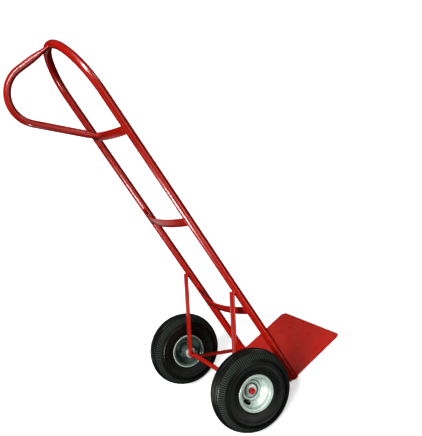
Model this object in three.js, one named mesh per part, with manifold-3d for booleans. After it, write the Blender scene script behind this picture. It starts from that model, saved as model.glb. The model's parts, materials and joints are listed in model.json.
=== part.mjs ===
import * as THREE from "three";
import { mergeVertices } from "three/addons/utils/BufferGeometryUtils.js";
import Module from "manifold-3d";

// An upright two-wheeled hand truck with a loop handle behind its arched tube frame.
// Lengths are millimetres. +Z is up, the toe plate reaches to -Y, the handle and the wheels
// are on the +Y side, and the origin is on the floor midway between the two rails.

// Fits
const GAP = 0.3; // between two pieces that touch or turn on each other
const OVERRUN = 5; // how far a cutter passes the faces it cuts
const WELD_DISTANCE = 0.0001; // corners closer than this are one corner

// Frame: one round tube, bent to an arch at the top
const OVERALL_HEIGHT = 1303;
const RAIL_SPACING = 356; // between the centrelines of the two rails
const FRAME_TUBE_DIAMETER = 25.4;
const FRAME_TUBE_WALL = 1.6;

// Loop handle: one round tube in the middle plane, squeezed flat at both welded ends
const HANDLE_TUBE_DIAMETER = 22.2;
const HANDLE_TUBE_WALL = 1.6;
const HANDLE_TOP_DROP = 2; // of its top end, below the centreline of the arch
const HANDLE_BEND_RADIUS = 87;
const HANDLE_BEND_SET_BACK = 115; // of the bend's centre, behind the rails
const HANDLE_BEND_DROP = 108; // of the bend's centre, below the top of the frame
const HANDLE_TOP_SQUEEZE = 42; // length of the flattened top end
const HANDLE_TOP_THICKNESS = 12;
const HANDLE_TOP_WIDTH = 27;
const HANDLE_FOOT_RISE = 3.5; // of its centreline's foot, above the middle of the top strap
const HANDLE_FOOT_SQUEEZE = 45; // length of the flattened lower end
const HANDLE_FOOT_THICKNESS = 18;
const HANDLE_FOOT_WIDTH = 24;

// Cross straps: flat bars on edge, bowed to the rear
const STRAP_WIDTH = 27.5; // its upright side
const STRAP_THICKNESS = 4.5;
const STRAP_BOW = 30; // of the middle, behind the ends
const STRAP_SET_BACK = 8; // of the ends, behind the rail centrelines
const STRAP_TOP_DROP = 311; // of the top strap's middle, below the top of the frame
const STRAP_MIDDLE_HEIGHT = 661.5;
const STRAP_BOTTOM_HEIGHT = 306.5;

// Toe plate: flat steel under the rails, turned up at the rear
const TOE_PLATE_THICKNESS = 4.8;
const TOE_PLATE_WIDTH = 352;
const TOE_PLATE_REACH = 218; // ahead of the rail centrelines
const TOE_PLATE_REAR = 20; // behind the rail centrelines
const TOE_PLATE_CORNER_RADIUS = 22;
const TOE_PLATE_BEVEL = 16; // length of the bevel along the front edge
const TOE_PLATE_EDGE = 2; // thickness left at the front edge
const TOE_FLANGE_HEIGHT = 25;
const TOE_FLANGE_BEND_RADIUS = 5; // on the inside of the bend

// Axle and its brackets, each one flat bar bent to a V behind the axle
const AXLE_DIAMETER = 16;
const AXLE_SET_BACK = 162; // behind the rails
const AXLE_CHAMFER = 1.2;
const BRACKET_WIDTH = 28;
const BRACKET_THICKNESS = 5;
const BRACKET_INSET = 2.5; // of its middle, inboard of the rail centreline
const BRACKET_TOP_HEIGHT = 386; // where its inner face meets the rail
const BRACKET_FOOT_HEIGHT = 20;

// Washers and the push-on caps that close the axle's ends
const WASHER_DIAMETER = 34;
const WASHER_THICKNESS = 1.5;
const AXLE_CAP_DIAMETER = 20;
const AXLE_CAP_SKIRT = 2.5; // its hold on the axle
const AXLE_CAP_TOP = 1.2; // thickness of the closed end
const AXLE_CAP_ROUNDING = 0.9;

// Hub and bearings
const HUB_DIAMETER = 41;
const HUB_WALL = 3;
const HUB_INNER_LENGTH = 55.5; // inboard of the wheel's middle plane
const HUB_OUTER_LENGTH = 1; // outboard of it
const BEARING_DEPTH = 10; // inside the hub
const BEARING_FLANGE_DIAMETER = 39;
const BEARING_FLANGE_THICKNESS = 2;
const BEARING_RACE_DIAMETER = 23;
const BEARING_RACE_STEP = 0.6; // the inner race stands out of the flange by this
const BEARING_SHIELD_DIAMETER = 33;
const BEARING_SHIELD_DEPTH = 0.8; // the shield lies below the flange by this

// Rim: two pressed halves, back to back
const RIM_SHEET = 2.4;
const RIM_DISC_DIAMETER = 68;
const RIM_SEAT_DIAMETER = 101.6; // where the tyre's bead sits
const RIM_SEAT_START = 17; // from the middle plane
const RIM_INNER_WIDTH = 67; // between the two flanges
const RIM_BEND = 2.5;
const RIM_FLANGE_DIAMETER = 120;
const RIM_LIP = 1.5;

// Tyre and inner tube
const TYRE_DIAMETER = 264;
const TYRE_WIDTH = 85;
const TYRE_BEAD_TOE = 22; // from the middle plane to the bead's inner edge
const TYRE_LIP_CLEARANCE = 0.6;
const INNER_TUBE_WALL = 1.8;

// Valve: a rubber stem square to the rim's cone, in an oval hole of the outer half
const VALVE_HOLE_LENGTH = 28;
const VALVE_HOLE_WIDTH = 16;
const VALVE_RADIUS = 38; // from the axle to the middle of the hole
const STEM_DIAMETER = 9;
const STEM_BORE = 3;
const STEM_FOOT_DIAMETER = 12;
const STEM_FOOT_LENGTH = 6;
const STEM_STAND_OUT = 5; // outside the rim's sheet
const VALVE_CAP_DIAMETER = 11.6;
const VALVE_CAP_OVERLAP = 4.5; // over the stem
const VALVE_CAP_TOP = 2; // thickness of the closed end
const VALVE_CAP_ROUNDING = 1.2;

// Tyre outlines, from the bead to the crown: share of the height above the bead, then share of
// the half width. The outside has a rib beside the rim, a ridge where the tread begins and two
// grooves on each half of the crown.
const TYRE_OUTSIDE_SHARES = [
  [0.142, 0.873],
  [0.165, 0.899],
  [0.19, 0.899],
  [0.312, 0.95],
  [0.462, 0.983],
  [0.53, 0.98],
  [0.556, 1],
  [0.577, 1],
  [0.604, 0.967],
  [0.71, 0.908],
  [0.814, 0.8],
  [0.892, 0.658],
  [0.929, 0.551],
  [0.935, 0.504],
  [0.895, 0.494],
  [0.895, 0.448],
  [0.942, 0.438],
  [0.985, 0.195],
  [0.948, 0.185],
  [0.948, 0.135],
  [0.99, 0.125],
  [1, 0.04],
];
const TYRE_CAVITY_SHARES = [
  [0.312, 0.831],
  [0.52, 0.88],
  [0.737, 0.72],
  [0.875, 0.27],
];

// Angles
const VALVE_TURN_RIGHT = (209 * Math.PI) / 180; // toward the rear and a little down
const VALVE_TURN_LEFT = (60 * Math.PI) / 180;
const QUARTER_TURN = Math.PI / 2;

// Numbers of flats on round pieces and of steps on bends
const FRAME_SIDES = 20;
const HANDLE_SIDES = 16;
const ARCH_STEPS = 20;
const HANDLE_STEPS = 10;
const SQUEEZE_STEPS = 3;
const STRAP_STEPS = 12;
const BRACKET_STEPS = 6;
const FLANGE_STEPS = 4;
const CORNER_STEPS = 5;
const WHEEL_SIDES = 32;
const HUB_SIDES = 24;
const BEARING_SIDES = 20;
const AXLE_SIDES = 20;
const WASHER_SIDES = 16;
const STEM_SIDES = 12;
const OVAL_SIDES = 20;

// Sizes that follow from those above
const railOffset = RAIL_SPACING / 2;
const frameRadius = FRAME_TUBE_DIAMETER / 2;
const archCentreHeight = OVERALL_HEIGHT - frameRadius - railOffset;
const railFoot = TOE_PLATE_THICKNESS + GAP;
const railBack = frameRadius + GAP;
const axleRadius = AXLE_DIAMETER / 2;
const axleHeight = TYRE_DIAMETER / 2; // the tyres rest on the floor
const boreRadius = axleRadius + GAP;
const bracketOffset = railOffset - BRACKET_INSET;
const bracketInnerEdge = bracketOffset - BRACKET_WIDTH / 2;
const innerWasherStart = bracketOffset + BRACKET_WIDTH / 2 + GAP;
const bearingStandOut = GAP + BEARING_FLANGE_THICKNESS + BEARING_RACE_STEP;
const wheelOffset = innerWasherStart + WASHER_THICKNESS + GAP + bearingStandOut + HUB_INNER_LENGTH;
const outerWasherStart = wheelOffset + HUB_OUTER_LENGTH + bearingStandOut + GAP;
const axleCapStart = outerWasherStart + WASHER_THICKNESS + GAP;
const axleHalfLength = axleCapStart + AXLE_CAP_SKIRT;
const beadRadius = RIM_SEAT_DIAMETER / 2 + GAP;
const rimMiddle = (GAP + RIM_SHEET) / 2; // of the disc's sheet, from the wheel's middle plane
const rimSeatMiddle = (RIM_SEAT_DIAMETER - RIM_SHEET) / 2;
const strapRear = STRAP_SET_BACK + STRAP_BOW + STRAP_THICKNESS / 2;
const topStrapHeight = OVERALL_HEIGHT - STRAP_TOP_DROP;
const handleFootHeight = topStrapHeight + HANDLE_FOOT_RISE;
const stemTip = RIM_SHEET / 2 + STEM_STAND_OUT;

const SIDES = [
  { name: "left", sign: 1, turn: 0, valve: VALVE_TURN_LEFT },
  { name: "right", sign: -1, turn: Math.PI, valve: VALVE_TURN_RIGHT },
];

const ALONG_X = new THREE.Vector3(1, 0, 0);
const ALONG_Y = new THREE.Vector3(0, 1, 0);
const ALONG_Z = new THREE.Vector3(0, 0, 1);

const solids = await Module();
solids.setup();

// A closed geometry as a solid that can be cut and joined.
function solidOf(geometry) {
  const loose = geometry.index ? geometry.toNonIndexed() : geometry;
  const bare = new THREE.BufferGeometry();
  bare.setAttribute("position", loose.getAttribute("position"));
  const welded = mergeVertices(bare, WELD_DISTANCE);
  const mesh = new solids.Mesh({
    numProp: 3,
    vertProperties: welded.getAttribute("position").array,
    triVerts: new Uint32Array(welded.index.array),
  });
  return new solids.Manifold(mesh);
}

function geometryOf(solid) {
  const mesh = solid.getMesh();
  const geometry = new THREE.BufferGeometry();
  geometry.setAttribute("position", new THREE.BufferAttribute(mesh.vertProperties, 3));
  geometry.setIndex(new THREE.BufferAttribute(mesh.triVerts, 1));
  geometry.computeVertexNormals();
  return geometry;
}

function cut(geometry, ...cutters) {
  return geometryOf(cutters.reduce((left, cutter) => left.subtract(solidOf(cutter)), solidOf(geometry)));
}

function join(geometry, ...others) {
  return geometryOf(others.reduce((whole, other) => whole.add(solidOf(other)), solidOf(geometry)));
}

// A body of revolution about X. Each point of its outline is [radius, place along X]. The outline
// closes on itself, or starts and ends on the axis.
function turned(outline, sides) {
  const points = outline.map(([radius, along]) => new THREE.Vector2(radius, along));
  if (THREE.ShapeUtils.isClockWise(points)) points.reverse();
  const touchesAxis = points[0].x === 0;
  if (!touchesAxis) points.push(points[0].clone());
  const turnToAxis = new THREE.Quaternion().setFromUnitVectors(ALONG_Y, ALONG_X);
  return new THREE.LatheGeometry(points, sides).applyQuaternion(turnToAxis);
}

// A round solid bar between two places on the axis.
function rod(radius, start, end, sides) {
  return turned([[0, start], [radius, start], [radius, end], [0, end]], sides);
}

// A ring with a square section.
function ring(innerRadius, outerRadius, start, end, sides) {
  const outline = [[innerRadius, start], [outerRadius, start], [outerRadius, end], [innerRadius, end]];
  return turned(outline, sides);
}

// A round cup with its mouth toward -X and a closed end rounded at the rim.
function cup({ inside, outside, mouth, ceiling, top, rounding }, sides) {
  const outline = [
    [0, ceiling],
    [inside, ceiling],
    [inside, mouth],
    [outside, mouth],
    [outside, top - rounding],
    [outside - rounding, top],
    [0, top],
  ];
  return turned(outline, sides);
}

// A flat outline raised along Z from 0 to its height.
function raised(points, height) {
  return new THREE.ExtrudeGeometry(new THREE.Shape(points), { depth: height, bevelEnabled: false });
}

// An outline in the side view (Y, Z), carried along X and centred on the middle plane.
function carriedAcross(points, width) {
  const toSideView = new THREE.Matrix4().makeBasis(ALONG_Y, ALONG_Z, ALONG_X);
  return raised(points, width).applyMatrix4(toSideView).translate(-width / 2, 0, 0);
}

// A box between two opposite corners.
function block(low, high) {
  const size = high.clone().sub(low);
  const middle = high.clone().add(low).divideScalar(2);
  return new THREE.BoxGeometry(size.x, size.y, size.z).translate(middle.x, middle.y, middle.z);
}

function heading(from, to) {
  return to.clone().sub(from).normalize();
}

// A direction turned a quarter to the left.
function leftOf(direction) {
  return new THREE.Vector2(-direction.y, direction.x);
}

// How far each corner of a line moves when the line shifts sideways by one unit.
function mitres(line, closed) {
  const last = line.length - 1;
  return line.map((point, i) => {
    const before = closed ? line[(i + last) % line.length] : line[Math.max(i - 1, 0)];
    const after = closed ? line[(i + 1) % line.length] : line[Math.min(i + 1, last)];
    const entering = heading(i > 0 || closed ? before : point, i > 0 || closed ? point : after);
    const leaving = heading(i < last || closed ? point : before, i < last || closed ? after : point);
    const middle = leftOf(entering).add(leftOf(leaving)).normalize();
    return middle.divideScalar(middle.dot(leftOf(entering)));
  });
}

// A line moved sideways, to its left.
function shifted(line, distance, closed = false) {
  const moves = mitres(line, closed);
  return line.map((point, i) => point.clone().addScaledVector(moves[i], distance));
}

// The outline of a strip of sheet along its middle line.
function strip(middle, thickness) {
  return [...shifted(middle, -thickness / 2), ...shifted(middle, thickness / 2).reverse()];
}

// Places and directions along an arc, from one angle to the other.
function arc(centre, radius, start, end, steps) {
  const turn = Math.sign(end - start);
  return Array.from({ length: steps + 1 }, (_, i) => {
    const angle = start + ((end - start) * i) / steps;
    const outward = new THREE.Vector2(Math.cos(angle), Math.sin(angle));
    return {
      place: centre.clone().addScaledVector(outward, radius),
      direction: leftOf(outward).multiplyScalar(turn),
    };
  });
}

// The angle at which a straight line from a point touches a circle on its left or right side.
function touchingAngle(point, centre, radius, side) {
  const toPoint = point.clone().sub(centre);
  return toPoint.angle() + side * Math.acos(radius / toPoint.length());
}

// A straight line, a bend of the circle and a second straight line, touching it at both ends.
function straightBendStraight(first, centre, radius, last, steps) {
  const start = touchingAngle(first, centre, radius, -1);
  const end = touchingAngle(last, centre, radius, 1);
  const fullTurn = 2 * Math.PI;
  const sweep = ((end - start) % fullTurn) - (end > start ? fullTurn : 0);
  const bend = arc(centre, radius, start, start + sweep, steps);
  return [
    { place: first, direction: heading(first, bend[0].place) },
    ...bend,
    { place: last, direction: heading(bend[steps].place, last) },
  ];
}

// A path whose rings stand only at the given stations.
class StationPath extends THREE.Curve {
  constructor(stations) {
    super();
    this.stations = stations;
  }

  stationAt(share) {
    return this.stations[Math.round(share * (this.stations.length - 1))];
  }

  getPointAt(share) {
    return this.stationAt(share).place.clone();
  }

  getTangentAt(share) {
    return this.stationAt(share).direction.clone();
  }
}

function circle(radius) {
  return new THREE.Shape().absarc(0, 0, radius, 0, 2 * Math.PI);
}

// A round bar along the stations, or a tube when it has a bore.
function tubeAlong(stations, radius, boreRadiusOfTube, sides) {
  const section = circle(radius);
  if (boreRadiusOfTube > 0) section.holes.push(circle(boreRadiusOfTube));
  return new THREE.ExtrudeGeometry(section, {
    extrudePath: new StationPath(stations),
    steps: stations.length - 1,
    curveSegments: sides / 2,
  });
}

// Squeezes the end of a tube: its thickness and its width across X change toward the end.
function squeezeEnd(geometry, end, inward, length, thicknessShare, widthShare) {
  const position = geometry.getAttribute("position");
  const across = new THREE.Vector3().crossVectors(inward, ALONG_X);
  const corner = new THREE.Vector3();
  for (let i = 0; i < position.count; i += 1) {
    corner.fromBufferAttribute(position, i).sub(end);
    if (corner.length() < length + HANDLE_TUBE_DIAMETER) {
      const amount = 1 - THREE.MathUtils.smoothstep(corner.dot(inward), 0, length);
      corner.addScaledVector(across, corner.dot(across) * amount * (thicknessShare - 1));
      corner.addScaledVector(ALONG_X, corner.x * amount * (widthShare - 1));
      corner.add(end);
      position.setXYZ(i, corner.x, corner.y, corner.z);
    }
  }
}

// Frame

function frameStations() {
  const centre = new THREE.Vector2(0, archCentreHeight);
  const rightFoot = new THREE.Vector2(-railOffset, railFoot);
  const leftFoot = new THREE.Vector2(railOffset, railFoot);
  const up = new THREE.Vector2(0, 1);
  const flat = [
    { place: rightFoot, direction: up },
    ...arc(centre, railOffset, Math.PI, 0, ARCH_STEPS),
    { place: leftFoot, direction: up.clone().negate() },
  ];
  return flat.map(({ place, direction }) => ({
    place: new THREE.Vector3(place.x, 0, place.y),
    direction: new THREE.Vector3(direction.x, 0, direction.y),
  }));
}

function frameTube() {
  return tubeAlong(frameStations(), frameRadius, frameRadius - FRAME_TUBE_WALL, FRAME_SIDES);
}

// What must stay clear of the frame tube is cut with this.
function frameClearance() {
  return tubeAlong(frameStations(), frameRadius + GAP, 0, FRAME_SIDES);
}

function strapPlan() {
  const radius = (railOffset ** 2 + STRAP_BOW ** 2) / (2 * STRAP_BOW);
  const centre = new THREE.Vector2(0, STRAP_SET_BACK + STRAP_BOW - radius);
  const reach = Math.asin(railOffset / radius);
  const bow = arc(centre, radius, QUARTER_TURN + reach, QUARTER_TURN - reach, STRAP_STEPS);
  return strip(bow.map(({ place }) => place), STRAP_THICKNESS);
}

function crossStrap(height) {
  const bar = raised(strapPlan(), STRAP_WIDTH).translate(0, 0, height - STRAP_WIDTH / 2);
  return cut(bar, frameClearance());
}

// Stations in the middle plane; each straight end gets extra rings where it is squeezed.
function handleStations() {
  const top = new THREE.Vector2(0, OVERALL_HEIGHT - frameRadius - HANDLE_TOP_DROP);
  const centre = new THREE.Vector2(HANDLE_BEND_SET_BACK, OVERALL_HEIGHT - HANDLE_BEND_DROP);
  const seat = new THREE.Vector2(strapRear, handleFootHeight);
  const touch = touchingAngle(seat, centre, HANDLE_BEND_RADIUS, 1);
  const lowerTouch = centre.clone().add(
    new THREE.Vector2(Math.cos(touch), Math.sin(touch)).multiplyScalar(HANDLE_BEND_RADIUS),
  );
  const foot = seat.clone().addScaledVector(heading(lowerTouch, seat), HANDLE_TUBE_DIAMETER);
  const path = straightBendStraight(top, centre, HANDLE_BEND_RADIUS, foot, HANDLE_STEPS);
  const ringsFrom = (end, length) =>
    Array.from({ length: SQUEEZE_STEPS }, (_, i) => ({
      place: end.place.clone().addScaledVector(end.direction, (length * (i + 1)) / SQUEEZE_STEPS),
      direction: end.direction,
    }));
  const start = path[0];
  const end = path[path.length - 1];
  const flat = [
    start,
    ...ringsFrom(start, HANDLE_TOP_SQUEEZE),
    ...path.slice(1, -1),
    ...ringsFrom(end, -HANDLE_FOOT_SQUEEZE).reverse(),
    end,
  ];
  return flat.map(({ place, direction }) => ({
    place: new THREE.Vector3(0, place.x, place.y),
    direction: new THREE.Vector3(0, direction.x, direction.y),
  }));
}

function handleLoop() {
  const stations = handleStations();
  const radius = HANDLE_TUBE_DIAMETER / 2;
  const tube = tubeAlong(stations, radius, radius - HANDLE_TUBE_WALL, HANDLE_SIDES);
  const top = stations[0];
  const foot = stations[stations.length - 1];
  const topThicknessShare = HANDLE_TOP_THICKNESS / HANDLE_TUBE_DIAMETER;
  const topWidthShare = HANDLE_TOP_WIDTH / HANDLE_TUBE_DIAMETER;
  const footThicknessShare = HANDLE_FOOT_THICKNESS / HANDLE_TUBE_DIAMETER;
  const footWidthShare = HANDLE_FOOT_WIDTH / HANDLE_TUBE_DIAMETER;
  squeezeEnd(tube, top.place, top.direction, HANDLE_TOP_SQUEEZE, topThicknessShare, topWidthShare);
  const inward = foot.direction.clone().negate();
  squeezeEnd(tube, foot.place, inward, HANDLE_FOOT_SQUEEZE, footThicknessShare, footWidthShare);
  const reach = 2 * HANDLE_TUBE_DIAMETER;
  const strapSide = block(
    new THREE.Vector3(-reach, strapRear + GAP - reach, handleFootHeight - reach),
    new THREE.Vector3(reach, strapRear + GAP, handleFootHeight + reach),
  );
  return cut(tube, frameClearance(), strapSide);
}

// Toe plate

function toePlatePlan() {
  const halfWidth = TOE_PLATE_WIDTH / 2;
  const cornerX = halfWidth - TOE_PLATE_CORNER_RADIUS;
  const cornerY = TOE_PLATE_CORNER_RADIUS - TOE_PLATE_REACH;
  const rightCorner = new THREE.Vector2(-cornerX, cornerY);
  const leftCorner = new THREE.Vector2(cornerX, cornerY);
  const round = (centre, start) =>
    arc(centre, TOE_PLATE_CORNER_RADIUS, start, start + QUARTER_TURN, CORNER_STEPS);
  return [
    new THREE.Vector2(-halfWidth, TOE_PLATE_REAR),
    ...round(rightCorner, Math.PI).map(({ place }) => place),
    ...round(leftCorner, -QUARTER_TURN).map(({ place }) => place),
    new THREE.Vector2(halfWidth, TOE_PLATE_REAR),
  ];
}

// The turned-up part, between the two axle brackets.
function toeFlange() {
  const radius = TOE_FLANGE_BEND_RADIUS + TOE_PLATE_THICKNESS / 2;
  const centre = new THREE.Vector2(
    TOE_PLATE_REAR - TOE_PLATE_THICKNESS / 2 - radius,
    TOE_PLATE_THICKNESS / 2 + radius,
  );
  const bend = arc(centre, radius, -QUARTER_TURN, 0, FLANGE_STEPS).map(({ place }) => place);
  const middle = [
    new THREE.Vector2(centre.x - OVERRUN, TOE_PLATE_THICKNESS / 2),
    ...bend,
    new THREE.Vector2(centre.x + radius, TOE_FLANGE_HEIGHT),
  ];
  return carriedAcross(strip(middle, TOE_PLATE_THICKNESS), 2 * (bracketInnerEdge - GAP));
}

function toePlate() {
  const front = -TOE_PLATE_REACH;
  const bevel = [
    new THREE.Vector2(front - OVERRUN, TOE_PLATE_THICKNESS + OVERRUN),
    new THREE.Vector2(front - OVERRUN, TOE_PLATE_EDGE),
    new THREE.Vector2(front, TOE_PLATE_EDGE),
    new THREE.Vector2(front + TOE_PLATE_BEVEL, TOE_PLATE_THICKNESS),
    new THREE.Vector2(front + TOE_PLATE_BEVEL, TOE_PLATE_THICKNESS + OVERRUN),
  ];
  const bendStart = TOE_PLATE_REAR - TOE_PLATE_THICKNESS - TOE_FLANGE_BEND_RADIUS;
  const behindBend = block(
    new THREE.Vector3(GAP - bracketInnerEdge, bendStart, -OVERRUN),
    new THREE.Vector3(bracketInnerEdge - GAP, TOE_PLATE_REAR + OVERRUN, TOE_PLATE_THICKNESS + OVERRUN),
  );
  const plate = raised(toePlatePlan(), TOE_PLATE_THICKNESS);
  const cutPlate = cut(plate, carriedAcross(bevel, TOE_PLATE_WIDTH + 2 * OVERRUN), behindBend);
  return join(cutPlate, toeFlange());
}

// Axle, brackets and the pieces that keep the wheels on

// Its inner face runs straight from each end to the bend behind the axle.
function axleBracket() {
  const axle = new THREE.Vector2(AXLE_SET_BACK, axleHeight);
  const top = new THREE.Vector2(railBack, BRACKET_TOP_HEIGHT);
  const foot = new THREE.Vector2(railBack, BRACKET_FOOT_HEIGHT);
  const path = straightBendStraight(top, axle, boreRadius, foot, BRACKET_STEPS);
  const inner = path.map(({ place }) => place);
  const outer = shifted(inner, BRACKET_THICKNESS);
  return carriedAcross([...inner, ...outer.reverse()], BRACKET_WIDTH);
}

function axle() {
  const shoulder = axleHalfLength - AXLE_CHAMFER;
  const endRadius = axleRadius - AXLE_CHAMFER;
  const outline = [
    [0, -axleHalfLength],
    [endRadius, -axleHalfLength],
    [axleRadius, -shoulder],
    [axleRadius, shoulder],
    [endRadius, axleHalfLength],
    [0, axleHalfLength],
  ];
  return turned(outline, AXLE_SIDES);
}

function washer(start) {
  return ring(boreRadius, WASHER_DIAMETER / 2, start, start + WASHER_THICKNESS, WASHER_SIDES);
}

function axleCap() {
  const ceiling = axleHalfLength + GAP;
  const sizes = {
    inside: boreRadius,
    outside: AXLE_CAP_DIAMETER / 2,
    mouth: axleCapStart,
    ceiling,
    top: ceiling + AXLE_CAP_TOP,
    rounding: AXLE_CAP_ROUNDING,
  };
  return cup(sizes, AXLE_SIDES);
}

// Wheel, built about its own middle with its outer side toward +X

// Joins the two mirrored halves of an outline whose points run from the bead to the crown.
function bothHalves(half) {
  const mirrored = half.map(([radius, along]) => [radius, -along]);
  return [...mirrored, ...half.toReversed()];
}

function tyrePoints(shares) {
  const height = TYRE_DIAMETER / 2 - beadRadius;
  return shares.map(([heightShare, widthShare]) => [
    beadRadius + heightShare * height,
    (widthShare * TYRE_WIDTH) / 2,
  ]);
}

function tyreCavity() {
  return bothHalves([[beadRadius, TYRE_BEAD_TOE], ...tyrePoints(TYRE_CAVITY_SHARES)]);
}

function tyre() {
  const beadFace = RIM_INNER_WIDTH / 2 - GAP;
  const outside = bothHalves([
    [beadRadius, beadFace - RIM_BEND],
    [beadRadius + RIM_BEND, beadFace],
    [RIM_FLANGE_DIAMETER / 2 + TYRE_LIP_CLEARANCE, beadFace],
    ...tyrePoints(TYRE_OUTSIDE_SHARES),
  ]);
  return turned([...outside, ...tyreCavity().reverse()], WHEEL_SIDES);
}

// A closed line moved inward all round.
function shrunk(outline, distance) {
  const points = outline.map(([radius, along]) => new THREE.Vector2(radius, along));
  if (THREE.ShapeUtils.isClockWise(points)) points.reverse();
  return shifted(points, distance, true).map(({ x, y }) => [x, y]);
}

function innerTube(valveTurn) {
  const outside = turned(shrunk(tyreCavity(), GAP), WHEEL_SIDES);
  const air = turned(shrunk(tyreCavity(), GAP + INNER_TUBE_WALL), WHEEL_SIDES);
  const drill = rod(STEM_BORE / 2, -2 * STEM_FOOT_DIAMETER - OVERRUN, 0, STEM_SIDES);
  return cut(outside, air, placeValve(drill, valveTurn));
}

function rimMiddleLine() {
  const flangeMiddle = (RIM_INNER_WIDTH + RIM_SHEET) / 2;
  const sheetCorner = (Math.SQRT1_2 * RIM_SHEET) / 2;
  const flangeEnd = RIM_FLANGE_DIAMETER / 2 - RIM_LIP - sheetCorner;
  return [
    [HUB_DIAMETER / 2 + GAP, rimMiddle],
    [RIM_DISC_DIAMETER / 2, rimMiddle],
    [rimSeatMiddle, RIM_SEAT_START],
    [rimSeatMiddle, flangeMiddle - RIM_BEND],
    [rimSeatMiddle + RIM_BEND, flangeMiddle],
    [flangeEnd, flangeMiddle],
    [flangeEnd + RIM_LIP, flangeMiddle + RIM_LIP],
  ];
}

function rimHalf(sign) {
  const middle = rimMiddleLine().map(([radius, along]) => new THREE.Vector2(radius, sign * along));
  return turned(strip(middle, RIM_SHEET).map(({ x, y }) => [x, y]), WHEEL_SIDES);
}

// The rim's cone, between the flat disc and the bead seat: its slope as a unit vector (radius, X)
// and the place where the valve crosses it.
function rimCone() {
  const foot = new THREE.Vector2(RIM_DISC_DIAMETER / 2, rimMiddle);
  const top = new THREE.Vector2(rimSeatMiddle, RIM_SEAT_START);
  const share = (VALVE_RADIUS - foot.x) / (top.x - foot.x);
  return { slope: heading(foot, top), crossing: foot.clone().lerp(top, share) };
}

// Puts a piece made along X on the valve's line: its origin goes to the cone, +X points out of it.
function placeValve(geometry, valveTurn) {
  const { slope, crossing } = rimCone();
  const outward = new THREE.Vector3(slope.x, 0, -slope.y);
  const up = new THREE.Vector3(slope.y, 0, slope.x);
  const onCone = new THREE.Matrix4().makeBasis(outward, ALONG_Y, up);
  return geometry
    .applyMatrix4(onCone)
    .translate(crossing.y, 0, crossing.x)
    .rotateX(valveTurn - QUARTER_TURN);
}

function valveHole() {
  const oval = new THREE.EllipseCurve(0, 0, VALVE_HOLE_LENGTH / 2, VALVE_HOLE_WIDTH / 2);
  return carriedAcross(oval.getPoints(OVAL_SIDES).slice(1), 2 * (RIM_SHEET + OVERRUN));
}

function rimOuterHalf(valveTurn) {
  return cut(rimHalf(1), placeValve(valveHole(), valveTurn));
}

function valveStem(valveTurn) {
  const foot = -2 * STEM_FOOT_DIAMETER;
  const { slope, crossing } = rimCone();
  const footTop = (crossing.x - beadRadius) / slope.y + STEM_FOOT_LENGTH;
  const outline = [
    [STEM_BORE / 2, foot],
    [STEM_FOOT_DIAMETER / 2, foot],
    [STEM_FOOT_DIAMETER / 2, footTop],
    [STEM_DIAMETER / 2, footTop + STEM_FOOT_LENGTH / 2],
    [STEM_DIAMETER / 2, stemTip],
    [STEM_BORE / 2, stemTip],
  ];
  const stem = placeValve(turned(outline, STEM_SIDES), valveTurn);
  const reach = beadRadius + 2 * STEM_FOOT_DIAMETER;
  const underTube = ring(beadRadius, reach, -reach, reach, WHEEL_SIDES);
  return cut(stem, underTube);
}

function valveCap(valveTurn) {
  const ceiling = stemTip + GAP;
  const sizes = {
    inside: STEM_DIAMETER / 2 + GAP,
    outside: VALVE_CAP_DIAMETER / 2,
    mouth: stemTip - VALVE_CAP_OVERLAP,
    ceiling,
    top: ceiling + VALVE_CAP_TOP,
    rounding: VALVE_CAP_ROUNDING,
  };
  return placeValve(cup(sizes, STEM_SIDES), valveTurn);
}

function hubTube() {
  const radius = HUB_DIAMETER / 2;
  return ring(radius - HUB_WALL, radius, -HUB_INNER_LENGTH, HUB_OUTER_LENGTH, HUB_SIDES);
}

// A flanged bearing seated in one end of the hub; sign is the side it faces.
function bearing(hubEnd, sign) {
  const body = HUB_DIAMETER / 2 - HUB_WALL - GAP;
  const flangeFace = GAP + BEARING_FLANGE_THICKNESS;
  const outline = [
    [boreRadius, -BEARING_DEPTH],
    [body, -BEARING_DEPTH],
    [body, GAP],
    [BEARING_FLANGE_DIAMETER / 2, GAP],
    [BEARING_FLANGE_DIAMETER / 2, flangeFace],
    [BEARING_SHIELD_DIAMETER / 2, flangeFace],
    [BEARING_SHIELD_DIAMETER / 2, flangeFace - BEARING_SHIELD_DEPTH],
    [BEARING_RACE_DIAMETER / 2, flangeFace - BEARING_SHIELD_DEPTH],
    [BEARING_RACE_DIAMETER / 2, bearingStandOut],
    [boreRadius, bearingStandOut],
  ];
  const faced = outline.map(([radius, along]) => [radius, sign * (hubEnd + along)]);
  return turned(faced, BEARING_SIDES);
}

// Materials

function redPaint() {
  return new THREE.MeshStandardMaterial({ color: 0xb3130d, roughness: 0.25, metalness: 0 });
}

function zincPlate() {
  return new THREE.MeshStandardMaterial({ color: 0xc9cec9, roughness: 0.35, metalness: 0.9 });
}

function bearingSteel() {
  return new THREE.MeshStandardMaterial({ color: 0x9a9d9f, roughness: 0.3, metalness: 1 });
}

function tyreRubber() {
  return new THREE.MeshStandardMaterial({ color: 0x14161a, roughness: 0.75, metalness: 0 });
}

function softRubber() {
  return new THREE.MeshStandardMaterial({ color: 0x1d1d1f, roughness: 0.6, metalness: 0 });
}

function capPlastic() {
  return new THREE.MeshStandardMaterial({ color: 0x101012, roughness: 0.4, metalness: 0 });
}

// Assembly

function piece(name, geometry, material) {
  const mesh = new THREE.Mesh(geometry, material);
  mesh.name = name;
  return mesh;
}

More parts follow.
